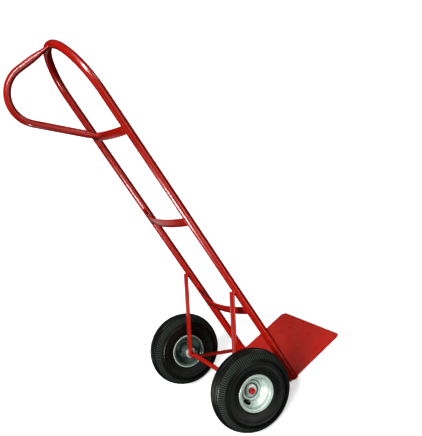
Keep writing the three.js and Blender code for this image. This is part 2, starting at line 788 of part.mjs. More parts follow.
function wheel({ name, sign, turn, valve }) {
  const group = new THREE.Group();
  group.add(
    piece(`tyre_${name}`, tyre(), tyreRubber()),
    piece(`inner_tube_${name}`, innerTube(valve), softRubber()),
    piece(`rim_outer_half_${name}`, rimOuterHalf(valve), zincPlate()),
    piece(`rim_inner_half_${name}`, rimHalf(-1), zincPlate()),
    piece(`hub_tube_${name}`, hubTube(), zincPlate()),
    piece(`bearing_outer_${name}`, bearing(HUB_OUTER_LENGTH, 1), bearingSteel()),
    piece(`bearing_inner_${name}`, bearing(HUB_INNER_LENGTH, -1), bearingSteel()),
    piece(`valve_stem_${name}`, valveStem(valve), softRubber()),
    piece(`valve_cap_${name}`, valveCap(valve), capPlastic()),
  );
  group.rotation.z = turn;
  group.position.set(sign * wheelOffset, AXLE_SET_BACK, axleHeight);
  return group;
}

// The fixed pieces of one side, about the axle's own centreline.
function axleHardware({ name, turn }) {
  const group = new THREE.Group();
  group.add(
    piece(`washer_inner_${name}`, washer(innerWasherStart), zincPlate()),
    piece(`washer_outer_${name}`, washer(outerWasherStart), zincPlate()),
    piece(`axle_cap_${name}`, axleCap(), redPaint()),
  );
  group.rotation.z = turn;
  group.position.set(0, AXLE_SET_BACK, axleHeight);
  return group;
}

function frame() {
  const group = new THREE.Group();
  const axlePiece = piece("axle", axle(), redPaint());
  axlePiece.position.set(0, AXLE_SET_BACK, axleHeight);
  group.add(
    piece("frame_tube", frameTube(), redPaint()),
    piece("handle_loop", handleLoop(), redPaint()),
    piece("cross_strap_top", crossStrap(topStrapHeight), redPaint()),
    piece("cross_strap_middle", crossStrap(STRAP_MIDDLE_HEIGHT), redPaint()),
    piece("cross_strap_bottom", crossStrap(STRAP_BOTTOM_HEIGHT), redPaint()),
    piece("toe_plate", toePlate(), redPaint()),
    axlePiece,
  );
  for (const { name, sign } of SIDES) {
    const bracket = piece(`axle_bracket_${name}`, axleBracket(), redPaint());
    bracket.position.x = sign * bracketOffset;
    group.add(bracket);
  }
  return group;
}

const truck = new THREE.Group();
truck.add(frame());
for (const side of SIDES) {
  truck.add(wheel(side), axleHardware(side));
}

export default truck;
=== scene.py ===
"""Dresses the hand truck: glossy red tube frame, pale pressed rims and ribbed black tyres."""

import json
import logging
import math
from contextlib import contextmanager
from dataclasses import dataclass, field
from enum import Enum
from typing import Callable, Iterator, Sequence

import bpy
from mathutils import Matrix, Vector

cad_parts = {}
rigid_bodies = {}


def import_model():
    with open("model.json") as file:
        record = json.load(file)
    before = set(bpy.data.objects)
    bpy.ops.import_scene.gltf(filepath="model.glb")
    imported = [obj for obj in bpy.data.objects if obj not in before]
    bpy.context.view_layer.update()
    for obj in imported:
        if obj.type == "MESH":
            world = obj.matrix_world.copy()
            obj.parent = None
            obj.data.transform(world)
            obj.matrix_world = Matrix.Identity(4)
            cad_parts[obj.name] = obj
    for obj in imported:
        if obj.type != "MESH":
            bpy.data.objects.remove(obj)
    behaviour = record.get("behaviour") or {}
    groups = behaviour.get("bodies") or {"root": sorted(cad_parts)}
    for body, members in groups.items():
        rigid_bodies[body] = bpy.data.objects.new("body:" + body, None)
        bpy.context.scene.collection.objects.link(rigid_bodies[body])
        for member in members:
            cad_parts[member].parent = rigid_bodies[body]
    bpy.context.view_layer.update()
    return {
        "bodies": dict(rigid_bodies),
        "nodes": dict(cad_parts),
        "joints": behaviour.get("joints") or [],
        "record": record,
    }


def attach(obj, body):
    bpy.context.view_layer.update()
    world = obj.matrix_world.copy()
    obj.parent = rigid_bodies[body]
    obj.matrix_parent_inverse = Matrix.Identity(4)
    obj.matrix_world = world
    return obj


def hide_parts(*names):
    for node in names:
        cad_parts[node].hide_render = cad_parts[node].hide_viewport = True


LOG = logging.getLogger("hand_truck")

MM = 0.001
FULL_TURN = 2 * math.pi
HALF_TURN = math.pi
QUARTER_TURN = math.pi / 2
ALONG_X = Vector((1, 0, 0))
ALONG_Y = Vector((0, 1, 0))
ALONG_Z = Vector((0, 0, 1))

MERGE_DISTANCE = 0.004 * MM  # corners closer than this are one corner
GAP = 0.3 * MM  # between two pieces that touch or turn on each other
CUTTER_SIDES = 96

Pair = tuple[float, float]
Triple = tuple[float, float, float]
Piece = bpy.types.Object
Face = bpy.types.MeshPolygon
Socket = bpy.types.NodeSocket


class Side(Enum):
    """The two sides of the truck, as the user sees them from behind the handle."""

    LEFT = "left"
    RIGHT = "right"

    @property
    def sign(self) -> int:
        """The side's direction along X."""
        return 1 if self is Side.LEFT else -1

    def place(self, centre: Sequence[float]) -> Matrix:
        """Where a piece goes that was modelled about the origin, its outer side to +X."""
        turn = 0 if self is Side.LEFT else HALF_TURN
        return Matrix.Translation(centre) @ Matrix.Rotation(turn, 4, "Z")


class BodyName(Enum):
    """The bodies that pieces ride on."""

    FRAME = "frame"
    LEFT_WHEEL = "left_wheel"
    RIGHT_WHEEL = "right_wheel"


# Modelling helpers


def deselect_all() -> None:
    """Leaves every object deselected and in object mode."""
    active = bpy.context.view_layer.objects.active
    if active is not None and active.mode != "OBJECT":
        bpy.ops.object.mode_set(mode="OBJECT")
    bpy.ops.object.select_all(action="DESELECT")


def pick(piece: Piece) -> None:
    """Makes one object the only selected and the active one.

    Args:
        piece: The object to work on.
    """
    deselect_all()
    piece.select_set(True)
    bpy.context.view_layer.objects.active = piece


@contextmanager
def editing(piece: Piece) -> Iterator[None]:
    """Opens a mesh for editing with everything selected, and closes it again.

    Args:
        piece: The mesh object to edit.

    Yields:
        Nothing, while the mesh is open.
    """
    pick(piece)
    bpy.ops.object.mode_set(mode="EDIT")
    bpy.ops.mesh.select_mode(type="VERT")
    bpy.ops.mesh.select_all(action="SELECT")
    yield
    bpy.ops.object.mode_set(mode="OBJECT")


def moved(piece: Piece, place: Matrix) -> Piece:
    """Moves a piece and puts its new place into its mesh.

    Args:
        piece: The object to move.
        place: Where it goes, as a turn, a stretch and a move.

    Returns:
        The same piece.
    """
    pick(piece)
    piece.matrix_world = place
    bpy.ops.object.transform_apply(location=True, rotation=True, scale=True)
    return piece


def primitive(add: Callable[..., object], name: str, **settings: object) -> Piece:
    """Adds a primitive and puts its place into its mesh.

    Args:
        add: The operator that adds it.
        name: The name for the new object.
        settings: The operator's own settings.

    Returns:
        The new object.
    """
    deselect_all()
    add(**settings)
    piece = bpy.context.view_layer.objects.active
    piece.name = piece.data.name = name
    bpy.ops.object.transform_apply(location=True, rotation=True, scale=True)
    return piece


def select(piece: Piece, test: Callable[[object], bool], faces: bool = False) -> None:
    """Selects the corners or the faces that pass a test, in the open edit.

    Args:
        piece: The mesh being edited.
        test: Takes the place of a corner, or a face, and says whether it is wanted.
        faces: Whether faces are selected, and not corners.
    """
    bpy.ops.mesh.select_mode(type="FACE" if faces else "VERT")
    bpy.ops.mesh.select_all(action="DESELECT")
    bpy.ops.object.mode_set(mode="OBJECT")
    for item in piece.data.polygons if faces else piece.data.vertices:
        item.select = test(item if faces else item.co)
    bpy.ops.object.mode_set(mode="EDIT")


def mark_faces(piece: Piece, name: str, test: Callable[[Face], bool]) -> None:
    """Keeps on each face whether it passes a test, for a finish to read."""
    values = piece.data.attributes.new(name, "FLOAT", "FACE")
    values.data.foreach_set("value", [float(test(face)) for face in piece.data.polygons])


def distance_from_axle(face: Face) -> float:
    """How far a face of a turned pattern lies from its axis."""
    return math.hypot(face.center.y, face.center.z)


def section_of(face: Face, sections: int) -> int:
    """Which of the equal sections round a turned pattern's axis a face lies in."""
    return math.floor(math.atan2(face.center.y, face.center.z) / FULL_TURN * sections)


def extrude(move: Vector | Sequence[float]) -> None:
    """Extrudes what is selected and moves the new part."""
    bpy.ops.mesh.extrude_region_move(TRANSFORM_OT_translate={"value": tuple(move)})


def extrude_along(direction: Vector, length: float, steps: int = 1) -> None:
    """Extrudes what is selected along a direction of the side view, in equal steps."""
    for _ in range(steps):
        extrude(in_space(direction) * (length / steps))


def spin(angle: float, centre: Sequence[float], axis: Vector, steps: int) -> None:
    """Spins what is selected about an axis by the right-hand rule, in radians."""
    bpy.ops.mesh.spin(steps=steps, angle=-angle, center=tuple(centre), axis=tuple(axis))


def heal() -> None:
    """Merges doubled corners, clears flat faces and turns all outward, in the open edit."""
    bpy.ops.mesh.select_mode(type="VERT")
    bpy.ops.mesh.select_all(action="SELECT")
    bpy.ops.mesh.remove_doubles(threshold=MERGE_DISTANCE)
    bpy.ops.mesh.dissolve_degenerate(threshold=MERGE_DISTANCE)
    bpy.ops.mesh.normals_make_consistent(inside=False)


def polyline(name: str, points: Sequence[Vector]) -> Piece:
    """A line of edges: one corner, extruded from place to place.

    Args:
        name: The name for the new object.
        points: The places of its corners, in order.

    Returns:
        The new object.
    """
    line = primitive(bpy.ops.mesh.primitive_plane_add, name, size=MM, location=points[0])
    with editing(line):
        bpy.ops.mesh.merge(type="CENTER")
        for before, after in zip(points, points[1:]):
            extrude(after - before)
    return line


def turned(name: str, outline: Sequence[Pair], steps: int, closed: bool = True) -> Piece:
    """A body of revolution about X through the origin.

    Args:
        name: The name for the new object.
        outline: Pairs of radius and place along X.
        steps: How many sections the turn has.
        closed: Whether the outline joins its own start.

    Returns:
        The new object.
    """
    points = [Vector((along, 0, radius)) for radius, along in outline]
    if closed:
        points.append(points[0])
    piece = polyline(name, points)
    with editing(piece):
        bpy.ops.mesh.remove_doubles(threshold=MERGE_DISTANCE)
        bpy.ops.mesh.select_all(action="SELECT")
        spin(FULL_TURN, (0, 0, 0), ALONG_X, steps)
        heal()
    return piece


def apply_modifier(piece: Piece, kind: str, **settings: object) -> None:
    """Adds a modifier with its settings and applies it.

    Args:
        piece: The object to change.
        kind: The modifier's type.
        settings: Its properties by name.
    """
    pick(piece)
    modifier = piece.modifiers.new(kind.title(), kind)
    for name, value in settings.items():
        setattr(modifier, name, value)
    bpy.ops.object.modifier_apply(modifier=modifier.name)


def cut_away(piece: Piece, cutter: Piece) -> None:
    """Takes a cutter out of a solid and deletes the cutter."""
    apply_modifier(piece, "BOOLEAN", operation="DIFFERENCE", solver="EXACT", object=cutter)
    removed(cutter)


def cut_round(
    piece: Piece, radius: float, depth: float, place: Sequence[float], turn: Triple = (0, 0, 0)
) -> None:
    """Cuts a solid to the round of a tube.

    Args:
        piece: The solid.
        radius: The radius of the cut.
        depth: How long the cutter is.
        place: The middle of the cutter.
        turn: Its turn from upright.
    """
    cutter = primitive(
        bpy.ops.mesh.primitive_cylinder_add,
        "tube_clearance",
        vertices=CUTTER_SIDES,
        radius=radius,
        depth=depth,
        location=place,
        rotation=turn,
    )
    cut_away(piece, cutter)


def rounded_edges(piece: Piece, width: float, limit: float = 35) -> None:
    """Rounds a solid's sharp edges.

    Args:
        piece: The solid.
        width: The width of the rounding.
        limit: The angle in degrees above which an edge is rounded.
    """
    apply_modifier(
        piece,
        "BEVEL",
        width=width,
        segments=2,
        limit_method="ANGLE",
        angle_limit=math.radians(limit),
        use_clamp_overlap=True,
        harden_normals=False,
    )


def smoothed(piece: Piece, edge: float = 0.0, angle: float = 32) -> Piece:
    """Rounds a solid's edges and shades it smooth.

    Args:
        piece: The solid.
        edge: The width of the rounding, or 0 to leave the edges.
        angle: The angle between faces above which an edge still looks sharp, in degrees.

    Returns:
        The same piece.
    """
    if edge:
        rounded_edges(piece, edge)
    pick(piece)
    bpy.ops.object.shade_smooth_by_angle(angle=math.radians(angle))
    return piece


def placed_copy(piece: Piece, name: str, place: Matrix) -> Piece:
    """A copy of a piece with its own mesh, at a new place.

    Args:
        piece: The piece to copy.
        name: The name of the copy.
        place: Where the copy goes, as a turn and a move of the first.

    Returns:
        The copy.
    """
    pick(piece)
    bpy.ops.object.duplicate(linked=False)
    copy = bpy.context.view_layer.objects.active
    copy.name = copy.data.name = name
    return moved(copy, place)


def removed(*pieces: Piece) -> None:
    """Deletes pieces that were only cutters, or patterns for copies.

    Args:
        pieces: The objects to delete.
    """
    deselect_all()
    for piece in pieces:
        piece.select_set(True)
    bpy.ops.object.delete()


def settle(piece: Piece, body: BodyName, finish: "Finish", *nodes: str) -> None:
    """Gives a finished piece its material, its body and the nodes it stands for.

    Args:
        piece: The finished mesh object.
        body: The body it moves with.
        finish: The finish it is dressed in.
        nodes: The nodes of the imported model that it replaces.
    """
    piece.data.materials.clear()
    piece.data.materials.append(finish.material())
    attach(piece, body.value)
    if nodes:
        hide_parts(*nodes)
    LOG.info("%s: %d faces, %s", piece.name, len(piece.data.polygons), finish.slot)


# Drawing helpers, for side views, plans and outlines


def in_space(point: Vector, x: float = 0.0) -> Vector:
    """A point or direction of the side view, in space."""
    return Vector((x, point.x, point.y))


def heading(start: Vector, end: Vector) -> Vector:
    """The unit direction from one point to another."""
    return (end - start).normalized()


def bend_round(
    start: Vector, end: Vector, centre: Vector, radius: float
) -> tuple[Vector, Vector, float]:
    """The bend of a line that runs straight to a circle, round it and straight on.

    Args:
        start: Where the line starts.
        end: Where it ends.
        centre: The middle of the circle.
        radius: Its radius.

    Returns:
        Where the bend starts, where it ends, and its turn in radians.
    """
    angles, touches = [], []
    for point, side in ((start, -1), (end, 1)):
        away = point - centre
        angle = math.atan2(away.y, away.x) + side * math.acos(radius / away.length)
        angles.append(angle)
        touches.append(centre + radius * Vector((math.cos(angle), math.sin(angle))))
    return *touches, (angles[1] - angles[0]) % FULL_TURN - FULL_TURN


def rounded_line(points: Sequence[Pair], radii: Sequence[float], steps: int = 4) -> list[Pair]:
    """An open line whose inner corners are rounded.

    Args:
        points: The corners.
        radii: The rounding of each inner corner, in order.
        steps: How many sections each rounding has.

    Returns:
        The places along the rounded line.
    """
    result: list[Pair] = [points[0]]
    for before, corner, after, radius in zip(points, points[1:], points[2:], radii):
        middle = Vector(corner)
        back = heading(middle, Vector(before))
        ahead = heading(middle, Vector(after))
        reach = radius / math.tan(back.angle(ahead) / 2)
        start = middle + back * reach
        end = middle + ahead * reach
        for i in range(steps + 1):
            share = i / steps
            low = start.lerp(middle, share)
            high = middle.lerp(end, share)
            result.append(tuple(low.lerp(high, share)))
    result.append(points[-1])
    return result


def both_halves(half: Sequence[Pair]) -> list[Pair]:
    """A whole outline from the half of it that runs from the bead to the crown."""
    return [*((radius, -along) for radius, along in half), *reversed(half)]


def arc(start: float, sweep: float, steps: int) -> list[Pair]:
    """The cosine and sine of evenly spaced angles, from a start over a sweep in degrees."""
    turns = [math.radians(start + sweep * i / steps) for i in range(steps + 1)]
    return [(math.cos(turn), math.sin(turn)) for turn in turns]


# Finishes


class Wiring:
    """Adds nodes to a node tree and joins them."""

    def __init__(self, tree: bpy.types.NodeTree) -> None:
        """Starts work on a tree."""
        self.tree = tree

    def add(self, kind: str, **settings: object) -> bpy.types.Node:
        """Adds a node.

        Args:
            kind: The node's type.
            settings: Its properties by name.

        Returns:
            The new node.
        """
        node = self.tree.nodes.new(kind)
        for name, value in settings.items():
            setattr(node, name, value)
        return node

    def feed(self, inputs: Sequence[Socket], values: dict[int | str, object]) -> None:
        """Joins outputs to inputs, and sets the inputs that get plain values.

        Args:
            inputs: The inputs of a node.
            values: Outputs, numbers or colours, by the name or number of the input.
        """
        for name, value in values.items():
            if isinstance(value, bpy.types.NodeSocket):
                self.tree.links.new(value, inputs[name])
            else:
                inputs[name].default_value = value

    def math(self, operation: str, first: object, second: object) -> Socket:
        """Adds a sum of two values.

        Args:
            operation: The kind of sum.
            first: An output or a number.
            second: An output or a number.

        Returns:
            The output that holds the result.
        """
        node = self.add("ShaderNodeMath", operation=operation)
        self.feed(node.inputs, {0: first, 1: second})
        return node.outputs[0]

    def ramp(self, value: Socket, source: Pair, target: Sequence[object] = (0.0, 1.0)) -> Socket:
        """Maps one range of values onto another, and keeps within it.

        Args:
            value: The output to map.
            source: The range it comes in.
            target: The range it goes to, as numbers or outputs.

        Returns:
            The output that holds the result.
        """
        node = self.add("ShaderNodeMapRange", clamp=True)
        names = ("Value", "From Min", "From Max", "To Min", "To Max")
        self.feed(node.inputs, dict(zip(names, (value, *source, *target))))
        return node.outputs["Result"]

    def noise(self, scale: Socket, detail: float) -> Socket:
        """Adds a cloud of noise that is fixed to the object.

        Args:
            scale: How fine it is.
            detail: How many finer layers it has.

        Returns:
            The output that holds its value.
        """
        node = self.add("ShaderNodeTexNoise")
        place = self.add("ShaderNodeTexCoord").outputs["Object"]
        self.feed(node.inputs, {"Vector": place, "Scale": scale, "Detail": detail})
        return node.outputs["Fac"]

    def mix(self, share: Socket, first: Socket | Triple, second: Triple) -> Socket:
        """Mixes a colour into another.

        Args:
            share: How much of the second shows.
            first: A colour or an output.
            second: A colour.

        Returns:
            The output that holds the mixed colour.
        """
        node = self.add("ShaderNodeMix", data_type="RGBA")
        self.feed(node.inputs, {"Factor": share})
        if not isinstance(first, bpy.types.NodeSocket):
            first = (*first, 1.0)
        colours = [socket for socket in node.inputs if socket.type == "RGBA"]
        self.feed(colours, {0: first, 1: (*second, 1.0)})
        return next(socket for socket in node.outputs if socket.type == "RGBA")


class Effect(Enum):
    """The surface effects that several finishes share."""

    EDGE_WEAR = "edge_wear"
    GRAIN = "surface_grain"
    DUST = "settled_dust"
    MOTTLE = "mottle"


class SharedGroup(Wiring):
    """A shader node group with one output, that every finish can use."""

    def __init__(
        self, effect: Effect, output: str, kind: str = "NodeSocketFloat", **inputs: float
    ) -> None:
        """Starts the group with its sockets.

        Args:
            effect: The effect that it makes.
            output: The name of its output.
            kind: The output's type.
            inputs: The starting values of its inputs, by name.
        """
        super().__init__(bpy.data.node_groups.new(effect.value, "ShaderNodeTree"))
        sockets = self.tree.interface
        for name, value in inputs.items():
            socket = sockets.new_socket(name=name, in_out="INPUT", socket_type="NodeSocketFloat")
            socket.default_value = value
        sockets.new_socket(name=output, in_out="OUTPUT", socket_type=kind)
        self.given = self.add("NodeGroupInput").outputs
        self.output = self.add("NodeGroupOutput").inputs

    def closed(self, result: Socket) -> bpy.types.ShaderNodeTree:
        """The group, with its result joined to its output."""
        self.feed(self.output, {0: result})
        return self.tree


def edge_wear_group() -> bpy.types.ShaderNodeTree:
    """The mask of rubbed outer edges.

    Returns:
        The group. Its Mask is 1 where an edge is rubbed.
    """
    group = SharedGroup(Effect.EDGE_WEAR, "Mask", Amount=0.5, Scale=120.0)
    edge = group.ramp(group.add("ShaderNodeNewGeometry").outputs["Pointiness"], (0.52, 0.62))
    patches = group.ramp(group.noise(group.given["Scale"], 4.0), (0.42, 0.62))
    mask = group.math("MULTIPLY", edge, patches)
    return group.closed(group.math("MULTIPLY", mask, group.given["Amount"]))


def grain_group() -> bpy.types.ShaderNodeTree:
    """A fine unevenness of the surface.

    Returns:
        The group. Its Normal carries the unevenness.
    """
    depth = 0.1 * MM
    group = SharedGroup(
        Effect.GRAIN, "Normal", "NodeSocketVector", Scale=400.0, Strength=0.2, Depth=depth
    )
    bump = group.add("ShaderNodeBump")
    height = group.noise(group.given["Scale"], 2.0)
    strength, distance = group.given["Strength"], group.given["Depth"]
    group.feed(bump.inputs, {"Height": height, "Strength": strength, "Distance": distance})
    return group.closed(bump.outputs["Normal"])


def dust_group() -> bpy.types.ShaderNodeTree:
    """The mask of dust on faces that look up.

    Returns:
        The group. Its Mask is 1 where dust lies thick.
    """
    group = SharedGroup(Effect.DUST, "Mask", Amount=0.1, Scale=30.0)
    split = group.add("ShaderNodeSeparateXYZ")
    group.feed(split.inputs, {"Vector": group.add("ShaderNodeTexCoord").outputs["Normal"]})
    upward = group.ramp(split.outputs["Z"], (0.2, 0.95))
    clouds = group.ramp(group.noise(group.given["Scale"], 5.0), (0.35, 0.7))
    mask = group.math("MULTIPLY", upward, clouds)
    return group.closed(group.math("MULTIPLY", mask, group.given["Amount"]))


def mottle_group() -> bpy.types.ShaderNodeTree:
    """A value that wanders between two limits over the surface.

    Returns:
        The group. Its Value stays between Low and High.
    """
    group = SharedGroup(Effect.MOTTLE, "Value", Scale=60.0, Low=0.2, High=0.3)
    noise = group.noise(group.given["Scale"], 6.0)
    return group.closed(group.ramp(noise, (0.3, 0.7), (group.given["Low"], group.given["High"])))


EFFECT_MAKERS: dict[Effect, Callable[[], bpy.types.ShaderNodeTree]] = {
    Effect.EDGE_WEAR: edge_wear_group,
    Effect.GRAIN: grain_group,
    Effect.DUST: dust_group,
    Effect.MOTTLE: mottle_group,
}


def effect_output(wiring: Wiring, effect: Effect, **values: float) -> Socket:
    """Places a shared effect in a material with values of its own.

    Args:
        wiring: The material's wiring.
        effect: Which effect.
        values: Its inputs by name.

    Returns:
        The effect's one output.
    """
    group = bpy.data.node_groups.get(effect.value) or EFFECT_MAKERS[effect]()
    node = wiring.add("ShaderNodeGroup", node_tree=group)
    wiring.feed(node.inputs, values)
    return node.outputs[0]


@dataclass(frozen=True)
class Finish:
    """A finish: its colours, gloss and surface effects.

    The second colour is where the surface wanders to, the worn colour shows on rubbed edges.
    Each mark is a value that the mesh carries and the colour that it brings, and it dulls the
    surface; the marks in use carry painted shade and painted highlights.
    """

    name: str
    slot: str
    colour: Triple
    second_colour: Triple
    worn_colour: Triple
    dust_colour: Triple = (0.42, 0.40, 0.36)
    metallic: float = 0.0
    roughness: Pair = (0.2, 0.3)
    specular: float = 0.5
    coat: float = 0.0
    coat_roughness: float = 0.05
    colour_scale: float = 14.0
    roughness_scale: float = 45.0
    grain_scale: float = 400.0
    grain_strength: float = 0.15
    grain_depth: float = 0.1 * MM
    wear: float = 0.2
    wear_scale: float = 160.0
    dust: float = 0.05
    dust_scale: float = 25.0
    marks: Sequence[tuple[str, Triple]] = ()

    def material(self) -> bpy.types.Material:
        """The one material of this finish, made on first use."""
        return bpy.data.materials.get(self.name) or self.made()

    def made(self) -> bpy.types.Material:
        """Builds the material's nodes.

        Returns:
            The new material.
        """
        material = bpy.data.materials.new(self.name)
        material.use_nodes = True
        wiring = Wiring(material.node_tree)
        low, high = self.roughness
        drift = effect_output(wiring, Effect.MOTTLE, Scale=self.colour_scale, Low=0.0, High=1.0)
        wear = effect_output(wiring, Effect.EDGE_WEAR, Amount=self.wear, Scale=self.wear_scale)
        dust = effect_output(wiring, Effect.DUST, Amount=self.dust, Scale=self.dust_scale)
        gloss = effect_output(
            wiring, Effect.MOTTLE, Scale=self.roughness_scale, Low=low, High=high
        )
        grain = effect_output(
            wiring,
            Effect.GRAIN,
            Scale=self.grain_scale,
            Strength=self.grain_strength,
            Depth=self.grain_depth,
        )
        base = wiring.mix(drift, self.colour, self.second_colour)
        base = wiring.mix(wear, base, self.worn_colour)
        base = wiring.mix(dust, base, self.dust_colour)
        dulled = wiring.math("ADD", gloss, dust)
        # Marks paint shade or highlights into the base colour and dull the surface.
        for name, colour in self.marks:
            mark = wiring.add("ShaderNodeAttribute", attribute_name=name).outputs["Fac"]
            base = wiring.mix(mark, base, colour)
            dulled = wiring.math("ADD", dulled, mark)
        values = {
            "Base Color": base,
            "Metallic": self.metallic,
            "Roughness": dulled,
            "Specular IOR Level": self.specular,
            "Coat Weight": self.coat,
            "Coat Roughness": self.coat_roughness,
            "Normal": grain,
        }
        wiring.feed(material.node_tree.nodes["Principled BSDF"].inputs, values)
        return material


RED_PAINT = Finish(
    name="gloss_red_enamel",
    slot="red_paint",
    colour=(0.60, 0.014, 0.004),
    second_colour=(0.51, 0.011, 0.003),
    worn_colour=(0.62, 0.035, 0.015),
    roughness=(0.26, 0.34),
    specular=0.35,
    coat=0.4,
    coat_roughness=0.13,
    grain_scale=60.0,
    grain_strength=0.012,
    dust=0.03,
)
RIM_STEEL = Finish(
    name="pressed_rim_enamel",
    slot="rim_steel",
    colour=(0.66, 0.76, 0.71),
    second_colour=(0.56, 0.68, 0.62),
    worn_colour=(0.9, 0.93, 0.9),
    metallic=0.25,
    roughness=(0.34, 0.44),
    grain_scale=420.0,
    grain_strength=0.08,
    dust=0.04,
    # The disc_step mark paints the step round the disc near black, as painted shade.
    marks=(("disc_step", (0.03, 0.04, 0.035)),),
)
# A darker copy of the rim steel, as painted shade, for the inner rim half and the hub tube; its
# rubbed edges show pale steel.
RIM_STEEL_SHADED = Finish(
    name="rim_enamel_painted_shade",
    slot="rim_steel",
    colour=(0.17, 0.245, 0.22),
    second_colour=(0.11, 0.17, 0.15),
    worn_colour=(0.8, 0.84, 0.8),
    metallic=0.5,
    roughness=(0.28, 0.38),
    grain_scale=420.0,
    grain_strength=0.08,
    wear=0.8,
    dust=0.04,
    # The lip mark paints the lip pale, as a painted highlight.
    marks=(("lip_painted_highlight", (0.60, 0.68, 0.64)),),
)
ZINC_STEEL = Finish(
    name="zinc_plating",
    slot="zinc_steel",
    colour=(0.74, 0.78, 0.75),
    second_colour=(0.64, 0.69, 0.66),
    worn_colour=(0.86, 0.87, 0.85),
    metallic=0.4,
    roughness=(0.24, 0.36),
    grain_scale=700.0,
    wear=0.3,
)
BEARING_STEEL = Finish(
    name="ground_bearing_steel",
    slot="bearing_steel",
    colour=(0.74, 0.78, 0.75),
    second_colour=(0.62, 0.66, 0.64),
    worn_colour=(0.85, 0.86, 0.85),
    metallic=0.4,
    grain_scale=900.0,
    wear=0.25,
)
TYRE_RUBBER = Finish(
    name="ribbed_tyre_rubber",
    slot="tyre_rubber",
    colour=(0.0060, 0.0070, 0.0064),
    second_colour=(0.0180, 0.0205, 0.0175),
    worn_colour=(0.035, 0.040, 0.035),
    dust_colour=(0.10, 0.10, 0.085),
    roughness=(0.27, 0.36),
    specular=0.22,
    grain_scale=900.0,
    grain_strength=0.2,
    wear=0.3,
    wear_scale=220.0,
    dust=0.06,
    # Slot floors are painted near black, as painted shade; the outer bar tops are painted lighter,
    # partly scuffing and partly a painted highlight.
    marks=(("slot_painted_shade", (0.001, 0.001, 0.001)), ("bar_scuff_and_sheen", (0.055, 0.070, 0.059))),
)
SOFT_RUBBER = Finish(
    name="valve_rubber",
    slot="soft_rubber",
    colour=(0.020, 0.020, 0.021),
    second_colour=(0.028, 0.028, 0.028),
    worn_colour=(0.06, 0.06, 0.06),
    roughness=(0.45, 0.6),
    grain_scale=1200.0,
    grain_strength=0.2,
)
CAP_PLASTIC = Finish(
    name="moulded_cap",
    slot="cap_plastic",
    colour=(0.012, 0.012, 0.013),
    second_colour=(0.018, 0.018, 0.019),
    worn_colour=(0.05, 0.05, 0.05),
    roughness=(0.3, 0.4),
    grain_scale=1500.0,
    grain_strength=0.1,
)
FINISHES = (
    RED_PAINT, RIM_STEEL, ZINC_STEEL, BEARING_STEEL, TYRE_RUBBER, SOFT_RUBBER, CAP_PLASTIC
)


# Sub-assemblies


